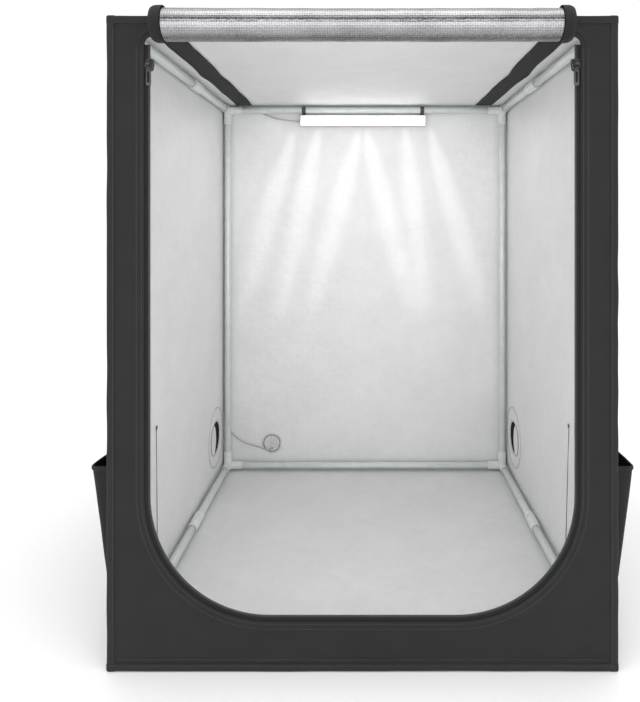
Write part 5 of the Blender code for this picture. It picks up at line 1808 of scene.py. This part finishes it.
@dataclass
class Studio:
    """The camera, the lights, the lamp beams and the pale floor."""

    wall: float = 0.2915
    beam_top: float = 0.7300
    beam_length: float = 0.40
    beam_power: float = 0.0044
    beam_width: float = 0.040
    beam_off_wall: float = 0.010
    beam_slope: float = 0.080
    beam_spread: float = 38
    beam_lines: tuple = ((-0.148, -0.29), (-0.096, -0.21), (-0.008, -0.27), (-0.002, 0.26), (0.084, 0.115),
                         (0.134, 0.29))

    def camera(self) -> None:
        """Places the camera in front of the opening."""
        data = bpy.data.cameras.new("view")
        data.lens = 32.5
        data.sensor_width = 36
        data.sensor_fit = "AUTO"
        data.shift_x = -0.0684
        data.shift_y = -0.1909
        made = bpy.data.objects.new("view", data)
        made.location = (0.0065, -1.044, 0.534)
        made.rotation_euler = (math.radians(90), 0, 0)
        bpy.context.scene.collection.objects.link(made)
        bpy.context.scene.camera = made

    def area(self, name: str, place: tuple, target: tuple, size: tuple, power: float,
             spread: float = 180) -> None:
        """Adds one soft light.

        Args:
            name: its name.
            place: where its middle is.
            target: the point it faces.
            size: its width and height.
            power: its power in watts.
            spread: how wide it shines, in degrees.
        """
        data = bpy.data.lights.new(name, "AREA")
        data.shape = "RECTANGLE"
        data.size, data.size_y = size
        data.energy = power
        data.spread = math.radians(spread)
        made = bpy.data.objects.new(name, data)
        made.location = place
        made.rotation_euler = (Vector(target) - Vector(place)).to_track_quat("-Z", "Y").to_euler()
        bpy.context.scene.collection.objects.link(made)

    def beams(self) -> None:
        """Strip lights that draw soft beams down the rear wall, under the bar."""
        for index, (x, lean) in enumerate(self.beam_lines):
            start = Vector((x, self.wall - self.beam_off_wall, self.beam_top))
            end = start + Vector((lean * self.beam_length, -self.beam_slope, -self.beam_length))
            along = (end - start).normalized()
            inward = Vector((0, 1, 0))
            facing = (inward - along * inward.dot(along)).normalized()
            data = bpy.data.lights.new(f"beam_{index + 1}", "AREA")
            data.shape = "ELLIPSE"
            data.size, data.size_y = self.beam_width, self.beam_length
            data.energy = self.beam_power
            data.spread = math.radians(self.beam_spread)
            made = bpy.data.objects.new(data.name, data)
            made.location = (start + end) / 2
            made.rotation_euler = Matrix((along.cross(facing), -along, -facing)).transposed().to_euler()
            bpy.context.scene.collection.objects.link(made)

    def flag(self) -> None:
        """Hangs a dark card high in front, which draws the dark band along the foil roll."""
        bpy.ops.object.select_all(action="DESELECT")
        bpy.ops.mesh.primitive_plane_add(size=1.0, location=(0, -2.3, 1.66),
                                         rotation=(math.radians(90), 0, 0))
        card = bpy.context.object
        card.name = "studio_flag"
        card.scale = (3.6, 0.80, 1.0)
        settle(card)
        paint = Paint("studio_black")
        grain = paint.noise(paint.place(), 0.2, 2.0, 0.5)
        paint.finish(base_color=paint.tint(grain, (0.010, 0.010, 0.010), (0.020, 0.020, 0.020)),
                     roughness=0.9)
        card.data.materials.append(paint.material)

    def build(self) -> None:
        """Sets the world, the lights and the floor."""
        self.camera()
        world = bpy.data.worlds.new("pale")
        world.use_nodes = True
        world.node_tree.nodes["Background"].inputs[0].default_value = (1.0, 1.0, 1.0, 1.0)
        world.node_tree.nodes["Background"].inputs[1].default_value = 1.06
        bpy.context.scene.world = world
        bpy.context.scene.view_settings.view_transform = "Standard"
        self.area("front_soft", (0.0, -2.3, 0.60), (0, 0, 0.45), (5.4, 1.15), 36)
        self.area("top_soft", (0, -0.7, 2.4), (0, -0.2, 0.5), (1.8, 1.2), 16)
        self.area("rear_soft", (0.6, 2.4, 1.8), (0, 0.3, 0.4), (2.0, 1.4), 8)
        self.area("bar_glow", (0, 0.08, 0.725), (0, 0.20, 0.30), (0.50, 0.30), 0.22)
        self.beams()
        self.flag()
        bpy.ops.object.select_all(action="DESELECT")
        bpy.ops.mesh.primitive_plane_add(size=8.0, location=(0, 0, -0.0002))
        floor = bpy.context.object
        floor.name = "studio_floor"
        paint = Paint("studio_white")
        grain = paint.noise(paint.place(), 0.4, 2.0, 0.5)
        colour = paint.tint(grain, (0.945, 0.945, 0.945), (0.965, 0.965, 0.965))
        paint.finish(base_color=colour, roughness=0.7)
        floor.data.materials.append(paint.material)


def main() -> None:
    """Builds the tent, piece by piece, in its studio."""
    logging.basicConfig(level=logging.INFO, format="%(message)s")
    LOG.info("studio and camera")
    Studio().build()
    parts = [Lead(), Shell(), TubeFrame(), DoorRoll(), ZipFastener(), LightBar(), CeilingBands(),
             SidePockets(),
             CablePorts(), InnerSeams()]
    for part in parts:
        LOG.info("building %s", type(part).__name__)
        part.build()


if __name__ == "__main__":
    main()
